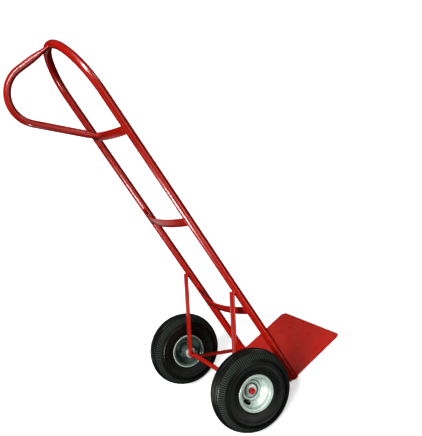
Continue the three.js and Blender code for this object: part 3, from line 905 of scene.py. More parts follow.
@dataclass
class TubeFrame:
    """The arched frame tube and the loop handle behind it."""

    rail_offset: float = 178 * MM
    rail_foot: float = 5.1 * MM
    radius: float = 12.7 * MM
    wall: float = 1.6 * MM
    height: float = 1303 * MM
    tube_sides: int = 48
    arch_steps: int = 72
    handle_radius: float = 11.1 * MM
    handle_top_drop: float = 2 * MM
    bend_set_back: float = 115 * MM
    bend_drop: float = 108 * MM
    bend_radius: float = 87 * MM
    bend_steps: int = 36
    strap_rear: float = 40.25 * MM
    handle_foot_drop: float = 307.5 * MM
    top_squeeze: float = 76 * MM
    top_shares: Pair = (27 / 22.2, 10.5 / 22.2)
    foot_squeeze: float = 60 * MM
    foot_shares: Pair = (24 / 22.2, 15 / 22.2)
    squeeze_steps: int = 12
    ring_spread: float = 0.2 * MM

    @property
    def handle_foot_height(self) -> float:
        """The height at which the handle meets the top strap."""
        return self.height - self.handle_foot_drop

    def build_tube(self) -> Piece:
        """The frame tube: a ring drawn up one rail, over the arch and down the other.

        Returns:
            The finished tube.
        """
        tube = primitive(
            bpy.ops.mesh.primitive_circle_add,
            "frame_tube_bent",
            vertices=self.tube_sides,
            radius=self.radius,
            location=(-self.rail_offset, 0, self.rail_foot),
        )
        arch_height = self.height - self.radius - self.rail_offset
        rise = arch_height - self.rail_foot
        with editing(tube):
            extrude((0, 0, rise))
            spin(HALF_TURN, (0, 0, arch_height), ALONG_Y, self.arch_steps)
            extrude((0, 0, -rise))
            heal()
        apply_modifier(tube, "SOLIDIFY", thickness=self.wall, offset=-1)
        return smoothed(tube)

    def build_handle(self) -> Piece:
        """The loop handle, squeezed flat at both ends and fitted to the arch and the strap.

        Returns:
            The finished handle.
        """
        top = Vector((0, self.height - self.radius - self.handle_top_drop))
        centre = Vector((self.bend_set_back, self.height - self.bend_drop))
        seat = Vector((self.strap_rear, self.handle_foot_height))
        bend_start, bend_end, sweep = bend_round(top, seat, centre, self.bend_radius)
        out = heading(top, bend_start)
        down = heading(bend_end, seat)
        foot = seat + down * self.handle_radius * 2
        handle = primitive(
            bpy.ops.mesh.primitive_circle_add,
            "handle_loop_bent",
            vertices=self.tube_sides,
            radius=self.handle_radius,
            location=in_space(top),
            rotation=(math.atan2(-out.x, out.y), 0, 0),
        )
        with editing(handle):
            extrude_along(out, self.top_squeeze, self.squeeze_steps)
            extrude_along(out, (bend_start - top).length - self.top_squeeze)
            spin(sweep, in_space(centre), ALONG_X, self.bend_steps)
            extrude_along(down, (foot - bend_end).length - self.foot_squeeze)
            extrude_along(down, self.foot_squeeze, self.squeeze_steps)
            heal()
            self.squeeze(handle, top, out, self.top_squeeze, self.top_shares)
            self.squeeze(handle, foot, -down, self.foot_squeeze, self.foot_shares)
        apply_modifier(handle, "SOLIDIFY", thickness=self.wall, offset=-1)
        self.fit_ends(handle)
        return smoothed(handle)

    def squeeze(
        self, handle: Piece, end: Vector, inward: Vector, length: float, shares: Pair
    ) -> None:
        """Presses one end of the handle flatter and wider, ring by ring.

        Args:
            handle: The tube being edited.
            end: The end's middle in the side view.
            inward: The direction from the end along the tube.
            length: How far the squeeze reaches.
            shares: What is left of the width and of the thickness at the very end.
        """
        along = in_space(inward)
        axes = Matrix((ALONG_X, along, along.cross(ALONG_X))).transposed()
        for i in range(self.squeeze_steps):
            middle = in_space(end) + along * (length * i / self.squeeze_steps)
            share = i / self.squeeze_steps
            amount = 1 - share * share * (3 - 2 * share)
            select(
                handle,
                lambda place: abs((place - middle).dot(along)) < self.ring_spread
                and (place - middle).length < 2 * self.handle_radius,
            )
            width, thickness = (1 + (share_left - 1) * amount for share_left in shares)
            bpy.ops.transform.resize(
                value=(width, 1, thickness),
                orient_type="GLOBAL",
                orient_matrix=axes,
                orient_matrix_type="GLOBAL",
                center_override=tuple(middle),
            )

    def fit_ends(self, handle: Piece) -> None:
        """Cuts the top end to the round of the arch and the foot to the face of the strap.

        Args:
            handle: The handle with its wall.
        """
        reach = 6 * self.handle_radius
        crown = (0, 0, self.height - self.radius)
        cut_round(handle, self.radius + GAP, reach, crown, (0, QUARTER_TURN, 0))
        before_strap = (0, self.strap_rear + GAP - reach / 2, self.handle_foot_height)
        add_cube = bpy.ops.mesh.primitive_cube_add
        cut_away(handle, primitive(add_cube, "strap_clearance", size=reach, location=before_strap))
        with editing(handle):
            heal()

    def dress(self) -> None:
        """Builds both tubes and puts them on the frame."""
        settle(self.build_tube(), BodyName.FRAME, RED_PAINT, "frame_tube")
        settle(self.build_handle(), BodyName.FRAME, RED_PAINT, "handle_loop")


@dataclass
class CrossStraps:
    """The three flat bars that bow to the rear between the rails."""

    rail_offset: float = 178 * MM
    rail_radius: float = 12.7 * MM
    width: float = 27.5 * MM
    thickness: float = 4.5 * MM
    bow: float = 30 * MM
    set_back: float = 8 * MM
    heights: dict[str, float] = field(
        default_factory=lambda: {"top": 992 * MM, "middle": 661.5 * MM, "bottom": 306.5 * MM}
    )
    steps: int = 56
    edge: float = 0.9 * MM

    @property
    def bow_radius(self) -> float:
        """The radius of the bow's middle line."""
        return (self.rail_offset**2 + self.bow**2) / (2 * self.bow)

    @property
    def bow_centre(self) -> float:
        """Where the middle of the bow's circle lies along Y."""
        return self.set_back + self.bow - self.bow_radius

    def build(self, name: str, height: float) -> Piece:
        """One strap, cut to the round of both rails.

        Args:
            name: The name for the object.
            height: The height of its middle.

        Returns:
            The finished strap.
        """
        low = height - self.width / 2
        reach = math.asin(self.rail_offset / self.bow_radius)
        strap = polyline(name, [Vector((self.rail_offset, self.set_back, low))])
        with editing(strap):
            spin(2 * reach, (0, self.bow_centre, low), ALONG_Z, self.steps)
            bpy.ops.mesh.select_all(action="SELECT")
            extrude((0, 0, self.width))
            heal()
        apply_modifier(strap, "SOLIDIFY", thickness=self.thickness, offset=0)
        for side in Side:
            rail = (side.sign * self.rail_offset, 0, height)
            cut_round(strap, self.rail_radius + GAP, 3 * self.width, rail)
        return smoothed(strap, self.edge)

    def dress(self) -> None:
        """Builds the straps and puts them on the frame."""
        for place, height in self.heights.items():
            strap = self.build(f"cross_strap_{place}_bowed", height)
            settle(strap, BodyName.FRAME, RED_PAINT, f"cross_strap_{place}")


@dataclass
class ToePlate:
    """The flat plate under the load, turned up at its rear edge."""

    thickness: float = 4.8 * MM
    width: float = 352 * MM
    reach: float = 218 * MM
    rear: float = 20 * MM
    corner_radius: float = 22 * MM
    corner_steps: int = 10
    bevel_length: float = 16 * MM
    front_thickness: float = 2 * MM
    flange_height: float = 25 * MM
    bend_radius: float = 5 * MM
    bend_steps: int = 8
    flange_width: float = 322.4 * MM
    edge: float = 0.7 * MM
    slack: float = 1 * MM

    def build(self) -> Piece:
        """The plate, bent and bevelled from one sheet.

        Returns:
            The finished plate.
        """
        outer_bend = self.bend_radius + self.thickness
        bend_start = self.rear - outer_bend
        half_flange = self.flange_width / 2
        inner, outer = half_flange - self.slack, half_flange + self.slack
        place = Matrix.Translation((0, (bend_start - self.reach) / 2, 0))
        stretch = Matrix.Diagonal((self.width, self.reach + bend_start, 1, 1))
        plate = primitive(bpy.ops.mesh.primitive_plane_add, "toe_plate_bent", size=1)
        moved(plate, place @ stretch)
        with editing(plate):
            for sign in (-1, 1):
                bpy.ops.mesh.select_all(action="SELECT")
                bpy.ops.mesh.bisect(plane_co=(sign * half_flange, 0, 0), plane_no=ALONG_X)
            select(plate, lambda p: p.y < self.slack - self.reach and abs(p.x) > outer)
            bpy.ops.mesh.bevel(
                offset=self.corner_radius, segments=self.corner_steps, affect="VERTICES"
            )
            select(plate, lambda p: p.y > bend_start - self.slack and abs(p.x) < outer)
            spin(QUARTER_TURN, (0, bend_start, outer_bend), ALONG_X, self.bend_steps)
            extrude((0, 0, self.flange_height - outer_bend))
            for sign in (-1, 1):
                select(
                    plate,
                    lambda p: abs(p.y - bend_start) < self.slack / 10
                    and sign * p.x > inner
                    and p.z < self.slack,
                )
                extrude((0, self.rear - bend_start, 0))
            heal()
            bpy.ops.mesh.flip_normals()
        self.raise_sheet(plate)
        self.bevel_front(plate)
        return smoothed(plate, self.edge)

    def raise_sheet(self, plate: Piece) -> None:
        """Gives the bent sheet its thickness, above its lower face.

        Args:
            plate: The bent sheet.
        """
        upward = plate.data.polygons[0].normal.z > 0
        apply_modifier(plate, "SOLIDIFY", thickness=self.thickness, offset=1 if upward else -1)
        with editing(plate):
            heal()

    def bevel_front(self, plate: Piece) -> None:
        """Slopes the top of the plate down to a thin front edge.

        Args:
            plate: The raised plate.
        """
        drop = self.thickness - self.front_thickness
        with editing(plate):
            bpy.ops.mesh.bisect(
                plane_co=(0, -self.reach, self.front_thickness),
                plane_no=Vector((0, -drop, self.bevel_length)).normalized(),
                use_fill=True,
                clear_outer=True,
            )
            heal()

    def dress(self) -> None:
        """Builds the plate and puts it on the frame."""
        settle(self.build(), BodyName.FRAME, RED_PAINT, "toe_plate")


@dataclass
class AxleSet:
    """The axle, its two V brackets, and the washers and caps at its ends."""

    height: float = 132 * MM
    set_back: float = 162 * MM
    radius: float = 8 * MM
    half_length: float = 258.5 * MM
    chamfer: float = 1.2 * MM
    bracket_offset: float = 175.5 * MM
    bracket_width: float = 28 * MM
    bracket_thickness: float = 5 * MM
    rail_back: float = 13 * MM
    bracket_top: float = 386 * MM
    bracket_foot: float = 20 * MM
    bracket_edge: float = 0.8 * MM
    bend_steps: int = 20
    washer_radius: float = 17 * MM
    washer_thickness: float = 1.5 * MM
    washer_edge: float = 0.25 * MM
    washer_starts: dict[str, float] = field(
        default_factory=lambda: {"inner": 189.8 * MM, "outer": 254.2 * MM}
    )
    cap_radius: float = 10 * MM
    cap_start: float = 256.0 * MM
    cap_top: float = 1.2 * MM
    cap_dish: float = 0.2 * MM
    cap_rounding: float = 0.9 * MM
    cap_rim: float = 2.4 * MM
    cap_rim_height: float = 2.4 * MM
    steps: int = 64

    @property
    def centre(self) -> Vector:
        """The middle of the axle."""
        return Vector((0, self.set_back, self.height))

    @property
    def bore(self) -> float:
        """The radius of what fits round the axle."""
        return self.radius + GAP

    def build_axle(self) -> Piece:
        """The round bar with chamfered ends.

        Returns:
            The finished axle.
        """
        shoulder = self.half_length - self.chamfer
        end_radius = self.radius - self.chamfer
        outline = [
            (0, -self.half_length),
            (end_radius, -self.half_length),
            (self.radius, -shoulder),
            (self.radius, shoulder),
            (end_radius, self.half_length),
            (0, self.half_length),
        ]
        bar = turned("axle_bar", outline, self.steps, closed=False)
        return moved(smoothed(bar), Matrix.Translation(self.centre))

    def build_bracket(self, side: Side) -> Piece:
        """One flat bar, bent to a V round the back of the axle.

        Args:
            side: The side of the truck.

        Returns:
            The finished bracket.
        """
        axle = Vector((self.set_back, self.height))
        top = Vector((self.rail_back, self.bracket_top))
        foot = Vector((self.rail_back, self.bracket_foot))
        bend_start, bend_end, sweep = bend_round(top, foot, axle, self.bore)
        start_x = side.sign * self.bracket_offset - self.bracket_width / 2
        points = [in_space(point, start_x) for point in (top, bend_start)]
        bar = polyline(f"axle_bracket_{side.value}_bent", points)
        with editing(bar):
            select(bar, lambda place: (place - points[1]).length < MERGE_DISTANCE)
            spin(sweep, in_space(axle, start_x), ALONG_X, self.bend_steps)
            extrude_along(foot - bend_end, 1)
            bpy.ops.mesh.select_all(action="SELECT")
            extrude((self.bracket_width, 0, 0))
            heal()
        rear_face = max(bar.data.polygons, key=lambda face: face.center.y)
        outward = 1 if rear_face.normal.y > 0 else -1
        apply_modifier(bar, "SOLIDIFY", thickness=self.bracket_thickness, offset=outward)
        with editing(bar):
            heal()
        return smoothed(bar, self.bracket_edge)

    def build_washer(self, name: str, start: float) -> Piece:
        """One flat washer about the axle's line, on the left side.

        Args:
            name: The name for the object.
            start: Where its inner face lies along the axle.

        Returns:
            The finished washer.
        """
        end = start + self.washer_thickness
        wide = self.washer_radius
        outline = [(self.bore, start), (wide, start), (wide, end), (self.bore, end)]
        return smoothed(turned(name, outline, self.steps), self.washer_edge)

    def build_cap(self) -> Piece:
        """The cap that is pushed on the left end of the axle, with a raised rim.

        Returns:
            The finished cap.
        """
        ceiling = self.half_length + GAP
        top = ceiling + self.cap_top
        rim_inside = self.cap_radius - self.cap_rim
        face = [
            (self.cap_radius, self.cap_start),
            (self.cap_radius, top + self.cap_rim_height),
            (rim_inside, top + self.cap_rim_height),
            (rim_inside - self.cap_rounding, top),
            (0, top - self.cap_dish),
        ]
        bends = (self.cap_rounding, self.cap_rounding / 2, self.cap_rounding)
        inside = [(0, ceiling), (self.bore, ceiling), (self.bore, self.cap_start)]
        outline = [*inside, *rounded_line(face, bends)]
        return smoothed(turned("axle_cap_pattern", outline, self.steps, closed=False), angle=50)

    def dress(self) -> None:
        """Builds everything on the axle and puts it on the frame."""
        settle(self.build_axle(), BodyName.FRAME, RED_PAINT, "axle")
        patterns = {
            f"washer_{place}": (self.build_washer(f"washer_{place}_pattern", start), ZINC_STEEL)
            for place, start in self.washer_starts.items()
        }
        patterns["axle_cap"] = (self.build_cap(), RED_PAINT)
        for side in Side:
            bracket = self.build_bracket(side)
            settle(bracket, BodyName.FRAME, RED_PAINT, f"axle_bracket_{side.value}")
            for kind, (pattern, finish) in patterns.items():
                node = f"{kind}_{side.value}"
                copy = placed_copy(pattern, f"{node}_turned", side.place(self.centre))
                settle(copy, BodyName.FRAME, finish, node)
        removed(*(pattern for pattern, _ in patterns.values()))


@dataclass
class Tyre:
    """An air-filled tyre: smooth side walls, barred shoulders and a ribbed crown.

    Its outlines run from the bead to the crown, in millimetres from the axle and from the
    middle plane.
    """

    bars: int = 112
    slot_depth: float = 1.5 * MM
    slot_inset: float = 0.25 * MM
    band: Pair = (99.9 * MM, 125.0 * MM)
    # Bar tops beyond this radius are painted lighter, partly scuffing and partly a painted
    # highlight.
    scuff_and_sheen_from: float = 108 * MM
    half_outline: Sequence[Pair] = (
        (51.1, 30.2), (51.8, 32.2), (53.6, 33.2), (60.4, 33.2), (61.2, 35.6), (62.6, 37.1),
        (64.4, 38.1), (66.4, 38.1), (70.5, 39.0), (76.0, 40.3), (82.0, 41.3), (88.0, 41.8),
        (93.8, 41.7), (94.8, 42.1), (96.0, 42.5), (97.7, 42.4), (98.8, 41.7), (99.9, 41.0),
        (104.1, 39.8), (108.5, 38.2), (112.8, 36.2), (116.8, 33.9), (120.5, 30.9), (123.4, 27.9),
        (125.2, 25.2), (125.9, 23.5), (126.6, 21.9), (126.7, 21.4), (123.6, 21.0), (123.5, 19.0),
        (127.4, 18.6), (128.0, 18.1), (129.6, 13.7), (130.8, 8.8), (130.8, 8.3), (127.9, 7.9),
        (127.9, 5.7), (131.2, 5.3), (131.6, 4.8), (132.0, 1.5),
    )
    cavity: Sequence[Pair] = (
        (51.1, 22.0), (63.0, 29.9), (76.3, 35.3), (93.2, 37.4), (104.0, 34.6), (110.7, 30.6),
        (117.5, 21.4), (121.9, 11.5),
    )

    def build(self) -> Piece:
        """The tyre about X, with a slot between each two shoulder bars.

        Returns:
            The finished tyre.
        """
        outside = both_halves(self.half_outline)
        inside = reversed(both_halves(self.cavity))
        outline = [(radius * MM, along * MM) for radius, along in (*outside, *inside)]
        tyre = turned("tyre_pattern", outline, 2 * self.bars)
        with editing(tyre):
            select(tyre, lambda face: self.in_band(face, 0), faces=True)
            bpy.ops.mesh.inset(thickness=self.slot_inset, depth=-self.slot_depth)
        # The slots are painted near black, as painted shade.
        mark_faces(tyre, "slot_painted_shade", lambda face: face.select)
        # The outer bar tops are painted lighter: partly scuffing, partly a painted highlight.
        mark_faces(
            tyre,
            "bar_scuff_and_sheen",
            lambda face: self.in_band(face, 1) and distance_from_axle(face) > self.scuff_and_sheen_from,
        )
        return smoothed(tyre, angle=30)

    def in_band(self, face: Face, turn: int) -> bool:
        """Whether a face lies outside on the shoulder, in every other section.

        Args:
            face: The face.
            turn: 0 for the sections of the slots, 1 for those of the bars.

        Returns:
            True if it does.
        """
        low, high = self.band
        outside = face.normal.x * face.center.x > 0 and low < distance_from_axle(face) < high
        return outside and section_of(face, 2 * self.bars) % 2 == turn


@dataclass
class Wheel:
    """A wheel with its two rim halves, hub, bearings, tyre and valve."""

    offset: float = 250 * MM
    set_back: float = 162 * MM
    height: float = 132 * MM
    sheet: float = 2.4 * MM
    disc_radius: float = 34 * MM
    seat_radius: float = 49.6 * MM
    seat_start: float = 17 * MM
    flange_middle: float = 34.7 * MM
    flange_end: float = 57.65 * MM
    bends: Sequence[float] = (1.35 * MM, 1.35 * MM, 1.35 * MM, 5 * MM, 3 * MM, 1.6 * MM)
    bend_steps: int = 6
    lip: float = 1.5 * MM
    rim_edge: float = 0.35 * MM
    hub_radius: float = 20.5 * MM
    hub_groove: float = 3.6 * MM
    hub_edge: float = 0.4 * MM
    disc_step: float = 1.4 * MM
    disc_edge: float = 1.2 * MM
    hub_wall: float = 3 * MM
    hub_inner: float = 55.5 * MM
    hub_outer: float = 1 * MM
    bore: float = 8.3 * MM
    bearing_depth: float = 10 * MM
    bearing_flange: float = 19.5 * MM
    bearing_flange_thickness: float = 2 * MM
    bearing_shield: float = 16.5 * MM
    bearing_shield_depth: float = 0.8 * MM
    bearing_race: float = 11.5 * MM
    bearing_race_step: float = 0.6 * MM
    bearing_edge: float = 0.3 * MM
    valve_radius: float = 38 * MM
    valve_hole: Pair = (14 * MM, 8 * MM)
    stem_radius: float = 4.5 * MM
    stem_bore: float = 1.5 * MM
    stem_foot_radius: float = 6 * MM
    stem_foot: Pair = (-18.0 * MM, -12.5 * MM)
    stem_taper: float = 3 * MM
    stem_tip: float = 6.2 * MM
    stem_edge: float = 0.4 * MM
    cap_radius: float = 5.8 * MM
    cap_overlap: float = 4.5 * MM
    cap_top: float = 2 * MM
    cap_shoulder: Pair = (1.2 * MM, 1.6 * MM)
    cap_collar: float = 0.8 * MM
    cap_ribs: int = 18
    cap_side_share: float = 0.98
    cap_groove: Pair = (0.05 * MM, 0.4 * MM)
    valve_turns: dict[Side, float] = field(
        default_factory=lambda: {Side.LEFT: math.radians(60), Side.RIGHT: math.radians(209)}
    )
    steps: int = 128
    bearing_steps: int = 96
    stem_steps: int = 48
    hole_steps: int = 64
    hole_depth: float = 16 * MM

    @property
    def sheet_middle(self) -> float:
        """How far the disc's sheet has its middle from the wheel's middle plane."""
        return (GAP + self.sheet) / 2

    @property
    def step_foot(self) -> float:
        """The radius at which the raised middle of the disc ends."""
        return self.disc_radius - self.disc_edge

    def build_rim_half(self, sign: int) -> Piece:
        """One pressed half of the rim.

        Args:
            sign: 1 for the outer half, -1 for the inner one.

        Returns:
            The half, with rounded edges.
        """
        bore = self.hub_radius + (self.hub_groove if sign > 0 else GAP)
        raised = self.sheet_middle + self.disc_step
        corners = [
            (bore, raised),
            (self.step_foot - self.disc_step, raised),
            (self.step_foot, self.sheet_middle),
            (self.disc_radius, self.sheet_middle),
            (self.seat_radius, self.seat_start),
            (self.seat_radius, self.flange_middle),
            (self.flange_end, self.flange_middle),
            (self.flange_end + self.lip, self.flange_middle + self.lip),
        ]
        line = rounded_line(corners, self.bends, self.bend_steps)
        outline = [(radius, sign * along) for radius, along in line]
        half = turned(f"rim_half_{sign}_pattern", outline, self.steps, closed=False)
        apply_modifier(half, "SOLIDIFY", thickness=self.sheet, offset=0)
        with editing(half):
            heal()
        rounded_edges(half, self.rim_edge, limit=50)
        return half

    def build_inner_half(self) -> Piece:
        """The inner half of the rim, without a hole. Its lip is marked for a painted highlight.

        Returns:
            The finished half.
        """
        half = self.build_rim_half(-1)
        lip_start = self.flange_end - self.lip
        # The lip's faces are marked for a painted highlight.
        mark_faces(half, "lip_painted_highlight", lambda face: distance_from_axle(face) > lip_start)
        return smoothed(half)

    def build_outer_half(self) -> Piece:
        """The outer half of the rim with its oval valve hole at the top.

        The step round its disc is painted dark, as painted shade.

        Returns:
            The finished half.
        """
        half = self.build_rim_half(1)
        drill = primitive(
            bpy.ops.mesh.primitive_cylinder_add,
            "valve_hole_cutter",
            vertices=self.hole_steps,
            radius=1,
            depth=self.hole_depth,
            rotation=(0, QUARTER_TURN, 0),
        )
        drill.matrix_world = self.on_cone() @ Matrix.Diagonal((1, *self.valve_hole, 1))
        cut_away(half, drill)
        with editing(half):
            heal()
        low, high = self.step_foot - self.disc_step, self.step_foot + self.disc_edge / 2
        # Faces in the step round the disc get painted shade.
        mark_faces(half, "disc_step", lambda face: low < distance_from_axle(face) < high)
        return smoothed(half)

    def on_cone(self) -> Matrix:
        """The place of the valve: its line along X, square to the rim's cone, pointing out.

        Returns:
            The turn and move from the origin, for a valve at the top of the wheel.
        """
        foot = Vector((self.disc_radius, self.sheet_middle))
        top = Vector((self.seat_radius, self.seat_start))
        slope = heading(foot, top)
        crossing = foot.lerp(top, (self.valve_radius - foot.x) / (top.x - foot.x))
        outward = Vector((slope.x, 0, -slope.y))
        upward = Vector((slope.y, 0, slope.x))
        turn = Matrix((outward, ALONG_Y, upward)).transposed().to_4x4()
        return Matrix.Translation((crossing.y, 0, crossing.x)) @ turn

    def build_hub(self) -> Piece:
        """The hub tube.

        Returns:
            The finished tube.
        """
        inside = self.hub_radius - self.hub_wall
        outline = [
            (inside, -self.hub_inner),
            (self.hub_radius, -self.hub_inner),
            (self.hub_radius, self.hub_outer),
            (inside, self.hub_outer),
        ]
        return smoothed(turned("hub_tube_pattern", outline, self.steps), self.hub_edge)

    def build_bearing(self, hub_end: float, sign: int) -> Piece:
        """A flanged bearing in one end of the hub.

        Args:
            hub_end: How far that end is from the middle plane.
            sign: The side that it faces.

        Returns:
            The finished bearing.
        """
        body = self.hub_radius - self.hub_wall - GAP
        face = GAP + self.bearing_flange_thickness
        stand_out = face + self.bearing_race_step
        shield = face - self.bearing_shield_depth
        outline = [
            (self.bore, -self.bearing_depth),
            (body, -self.bearing_depth),
            (body, GAP),
            (self.bearing_flange, GAP),
            (self.bearing_flange, face),
            (self.bearing_shield, face),
            (self.bearing_shield, shield),
            (self.bearing_race, shield),
            (self.bearing_race, stand_out),
            (self.bore, stand_out),
        ]
        faced = [(radius, sign * (hub_end + along)) for radius, along in outline]
        bearing = turned(f"bearing_{sign}_pattern", faced, self.bearing_steps)
        return smoothed(bearing, self.bearing_edge)

    def build_stem(self) -> Piece:
        """The rubber valve stem along X, its foot toward the tube.

        Returns:
            The finished stem.
        """
        foot_start, foot_end = self.stem_foot
        outline = [
            (self.stem_bore, foot_start),
            (self.stem_foot_radius, foot_start),
            (self.stem_foot_radius, foot_end),
            (self.stem_radius, foot_end + self.stem_taper),
            (self.stem_radius, self.stem_tip),
            (self.stem_bore, self.stem_tip),
        ]
        return smoothed(turned("valve_stem_pattern", outline, self.stem_steps), self.stem_edge)

    def build_cap(self) -> Piece:
        """The valve cap along X, with a groove between each two of its ribs.

        Returns:
            The finished cap.
        """
        inside = self.stem_radius + GAP
        mouth = self.stem_tip - self.cap_overlap
        ceiling = self.stem_tip + GAP
        top = ceiling + self.cap_top
        low, high = mouth + self.cap_collar, top - self.cap_shoulder[1]
        outline = [
            (0, ceiling),
            (inside, ceiling),
            (inside, mouth),
            (self.cap_radius, mouth),
            (self.cap_radius, low),
            (self.cap_radius, high),
            (self.cap_radius - self.cap_shoulder[0], top),
            (0, top),
        ]
        cap = turned("valve_cap_pattern", outline, 4 * self.cap_ribs, closed=False)
        inset, depth = self.cap_groove
        with editing(cap):
            select(
                cap,
                lambda face: low < face.center.x < high
                and distance_from_axle(face) > self.cap_side_share * self.cap_radius
                and section_of(face, 2 * self.cap_ribs) % 2 == 0,
                faces=True,
            )
            bpy.ops.mesh.inset(thickness=inset, depth=-depth)
        return smoothed(cap, angle=40)

    def dress(self) -> None:
        """Builds both wheels and puts each on its body."""
        cone = self.on_cone()
        patterns = {
            "tyre": (Tyre().build(), TYRE_RUBBER, None),
            # The hub tube and the inner rim half take the darker rim finish, as painted shade.
            "hub_tube": (self.build_hub(), RIM_STEEL_SHADED, None),
            "bearing_outer": (self.build_bearing(self.hub_outer, 1), BEARING_STEEL, None),
            "bearing_inner": (self.build_bearing(self.hub_inner, -1), BEARING_STEEL, None),
            "rim_inner_half": (self.build_inner_half(), RIM_STEEL_SHADED, None),
            "rim_outer_half": (self.build_outer_half(), RIM_STEEL, Matrix()),
            "valve_stem": (self.build_stem(), SOFT_RUBBER, cone),
            "valve_cap": (self.build_cap(), CAP_PLASTIC, cone),
        }
        for side in Side:
            body = BodyName(f"{side.value}_wheel")
            wheel = side.place((side.sign * self.offset, self.set_back, self.height))
            valve_turn = Matrix.Rotation(self.valve_turns[side] - QUARTER_TURN, 4, "X")
            for kind, (pattern, finish, by_valve) in patterns.items():
                place = wheel if by_valve is None else wheel @ valve_turn @ by_valve
                node = f"{kind}_{side.value}"
                settle(placed_copy(pattern, f"{node}_made", place), body, finish, node)
        removed(*(pattern for pattern, _, _ in patterns.values()))


@dataclass
class Welds:
    """The rippled weld beads between the pieces of the frame.

    Each seat says how far the middle of a bead lies off the pieces that it joins. Each arc is
    its start and its sweep in degrees, and its number of steps.
    """

    radius: float = 2.2 * MM
    ripple: float = 2.4 * MM
    ripple_depth: float = 0.14
    ripple_points: int = 4
    end_share: float = 0.35
    end_slope: float = 0.3
    rail_seat: Pair = (0.6 * MM, 0.7 * MM)
    strap_inset: float = 1 * MM
    bracket_seat: Pair = (0.8 * MM, 0.5 * MM)
    axle_seat: Pair = (0.9 * MM, 0.4 * MM)
    handle_seat: Pair = (0.3 * MM, 0.5 * MM)
    foot_slant: float = 1.28
    rail_arc: tuple[float, float, int] = (95, 170, 24)
    bracket_arc: tuple[float, float, int] = (40, 100, 16)
    axle_arc: tuple[float, float, int] = (-35, 75, 16)
    handle_arc: tuple[float, float, int] = (0, 360, 40)
    frame: TubeFrame = field(default_factory=TubeFrame)
    straps: CrossStraps = field(default_factory=CrossStraps)
    plate: ToePlate = field(default_factory=ToePlate)
    axle: AxleSet = field(default_factory=AxleSet)

    def bead(self, name: str, path: Sequence[Vector]) -> Piece:
        """A bead along a path, thicker and thinner as the arc was moved on.

        Args:
            name: The name for the object.
            path: The line along its middle. It may come back to its start.

        Returns:
            The finished bead.
        """
        closed = (path[0] - path[-1]).length < MERGE_DISTANCE
        places = self.spaced(path)
        bead = polyline(name, places[:-1] if closed else places)
        pick(bead)
        bpy.ops.object.convert(target="CURVE")
        curve = bpy.context.view_layer.objects.active.data
        curve.bevel_depth = self.radius
        curve.bevel_resolution = 2
        curve.use_fill_caps = not closed
        spline = curve.splines[0]
        spline.use_cyclic_u = closed
        last = len(spline.points) - 1
        for i, point in enumerate(spline.points):
            swell = 0.5 + 0.5 * math.cos(FULL_TURN * i / self.ripple_points)
            taper = 1 if closed else min(1, self.end_share + self.end_slope * min(i, last - i))
            point.radius = (1 - self.ripple_depth * swell) * taper
        bpy.ops.object.convert(target="MESH")
        bead = bpy.context.view_layer.objects.active
        with editing(bead):
            heal()
        return smoothed(bead, angle=60)

    def spaced(self, path: Sequence[Vector]) -> list[Vector]:
        """Places along a path, with a few to each ripple.

        Args:
            path: The corners of the path.

        Returns:
            Evenly spaced places from its start to its end.
        """
        lengths = [(b - a).length for a, b in zip(path, path[1:])]
        total = sum(lengths)
        count = self.ripple_points * max(1, round(total / self.ripple))
        places = []
        for i in range(count + 1):
            wanted = total * i / count
            index = 0
            while index < len(lengths) - 1 and wanted > lengths[index]:
                wanted -= lengths[index]
                index += 1
            places.append(path[index].lerp(path[index + 1], min(1, wanted / lengths[index])))
        return places

    def strap_meeting(self, radius: float) -> Vector:
        """Where one face of a strap meets the left rail, in plan.

        Args:
            radius: The radius of that face of the bow.

        Returns:
            The point, as X and Y.
        """
        bow = Vector((0, self.straps.bow_centre))
        between = Vector((self.straps.rail_offset, 0)) - bow
        distance = between.length
        rail_radius = self.straps.rail_radius + GAP
        along = (radius**2 - rail_radius**2 + distance**2) / (2 * distance)
        aside = math.sqrt(max(0.0, radius**2 - along**2))
        direction = between.normalized()
        return bow + direction * along + Vector((-direction.y, direction.x)) * aside

    def rail_foot(self, side: Side) -> list[Vector]:
        """The middle of the bead round the inner side of a rail's foot, on the plate.

        Args:
            side: The side of the truck.

        Returns:
            The path of the bead.
        """
        reach = self.frame.radius + self.rail_seat[0]
        height = self.plate.thickness + self.rail_seat[1]
        offset = self.frame.rail_offset
        turns = arc(*self.rail_arc)
        return [Vector((side.sign * (offset + reach * c), reach * s, height)) for c, s in turns]

    def bracket_end(self, side: Side, height: float) -> list[Vector]:
        """The middle of the bead across the back of a rail, at a bracket's end.

        Args:
            side: The side of the truck.
            height: The height of the bead.

        Returns:
            The path of the bead.
        """
        reach = self.frame.radius + self.bracket_seat[0]
        rail = side.sign * self.frame.rail_offset
        return [Vector((rail + reach * c, reach * s, height)) for c, s in arc(*self.bracket_arc)]

    def axle_end(self, side: Side) -> list[Vector]:
        """The middle of the bead between the axle and the inner edge of a bracket.

        Args:
            side: The side of the truck.

        Returns:
            The path of the bead.
        """
        axle = self.axle
        reach = axle.radius + self.axle_seat[0]
        inner_edge = axle.bracket_offset - axle.bracket_width / 2
        middle = Vector((side.sign * (inner_edge - self.axle_seat[1]), axle.set_back, axle.height))
        return [middle + Vector((0, reach * c, reach * s)) for c, s in arc(*self.axle_arc)]

    def strap_paths(self) -> dict[str, list[Vector]]:
        """The middles of the upright beads on both faces of every strap end.

        Returns:
            The path of each bead, by its name.
        """
        paths = {}
        half = self.straps.width / 2 - self.strap_inset
        for place, height in self.straps.heights.items():
            for face, shift in (("front", -0.5), ("rear", 0.5)):
                radius = self.straps.bow_radius + shift * self.straps.thickness
                meeting = self.strap_meeting(radius)
                for side in Side:
                    x = side.sign * meeting.x
                    ends = [Vector((x, meeting.y, height + end)) for end in (-half, half)]
                    paths[f"strap_{place}_{face}_{side.value}"] = ends
        return paths

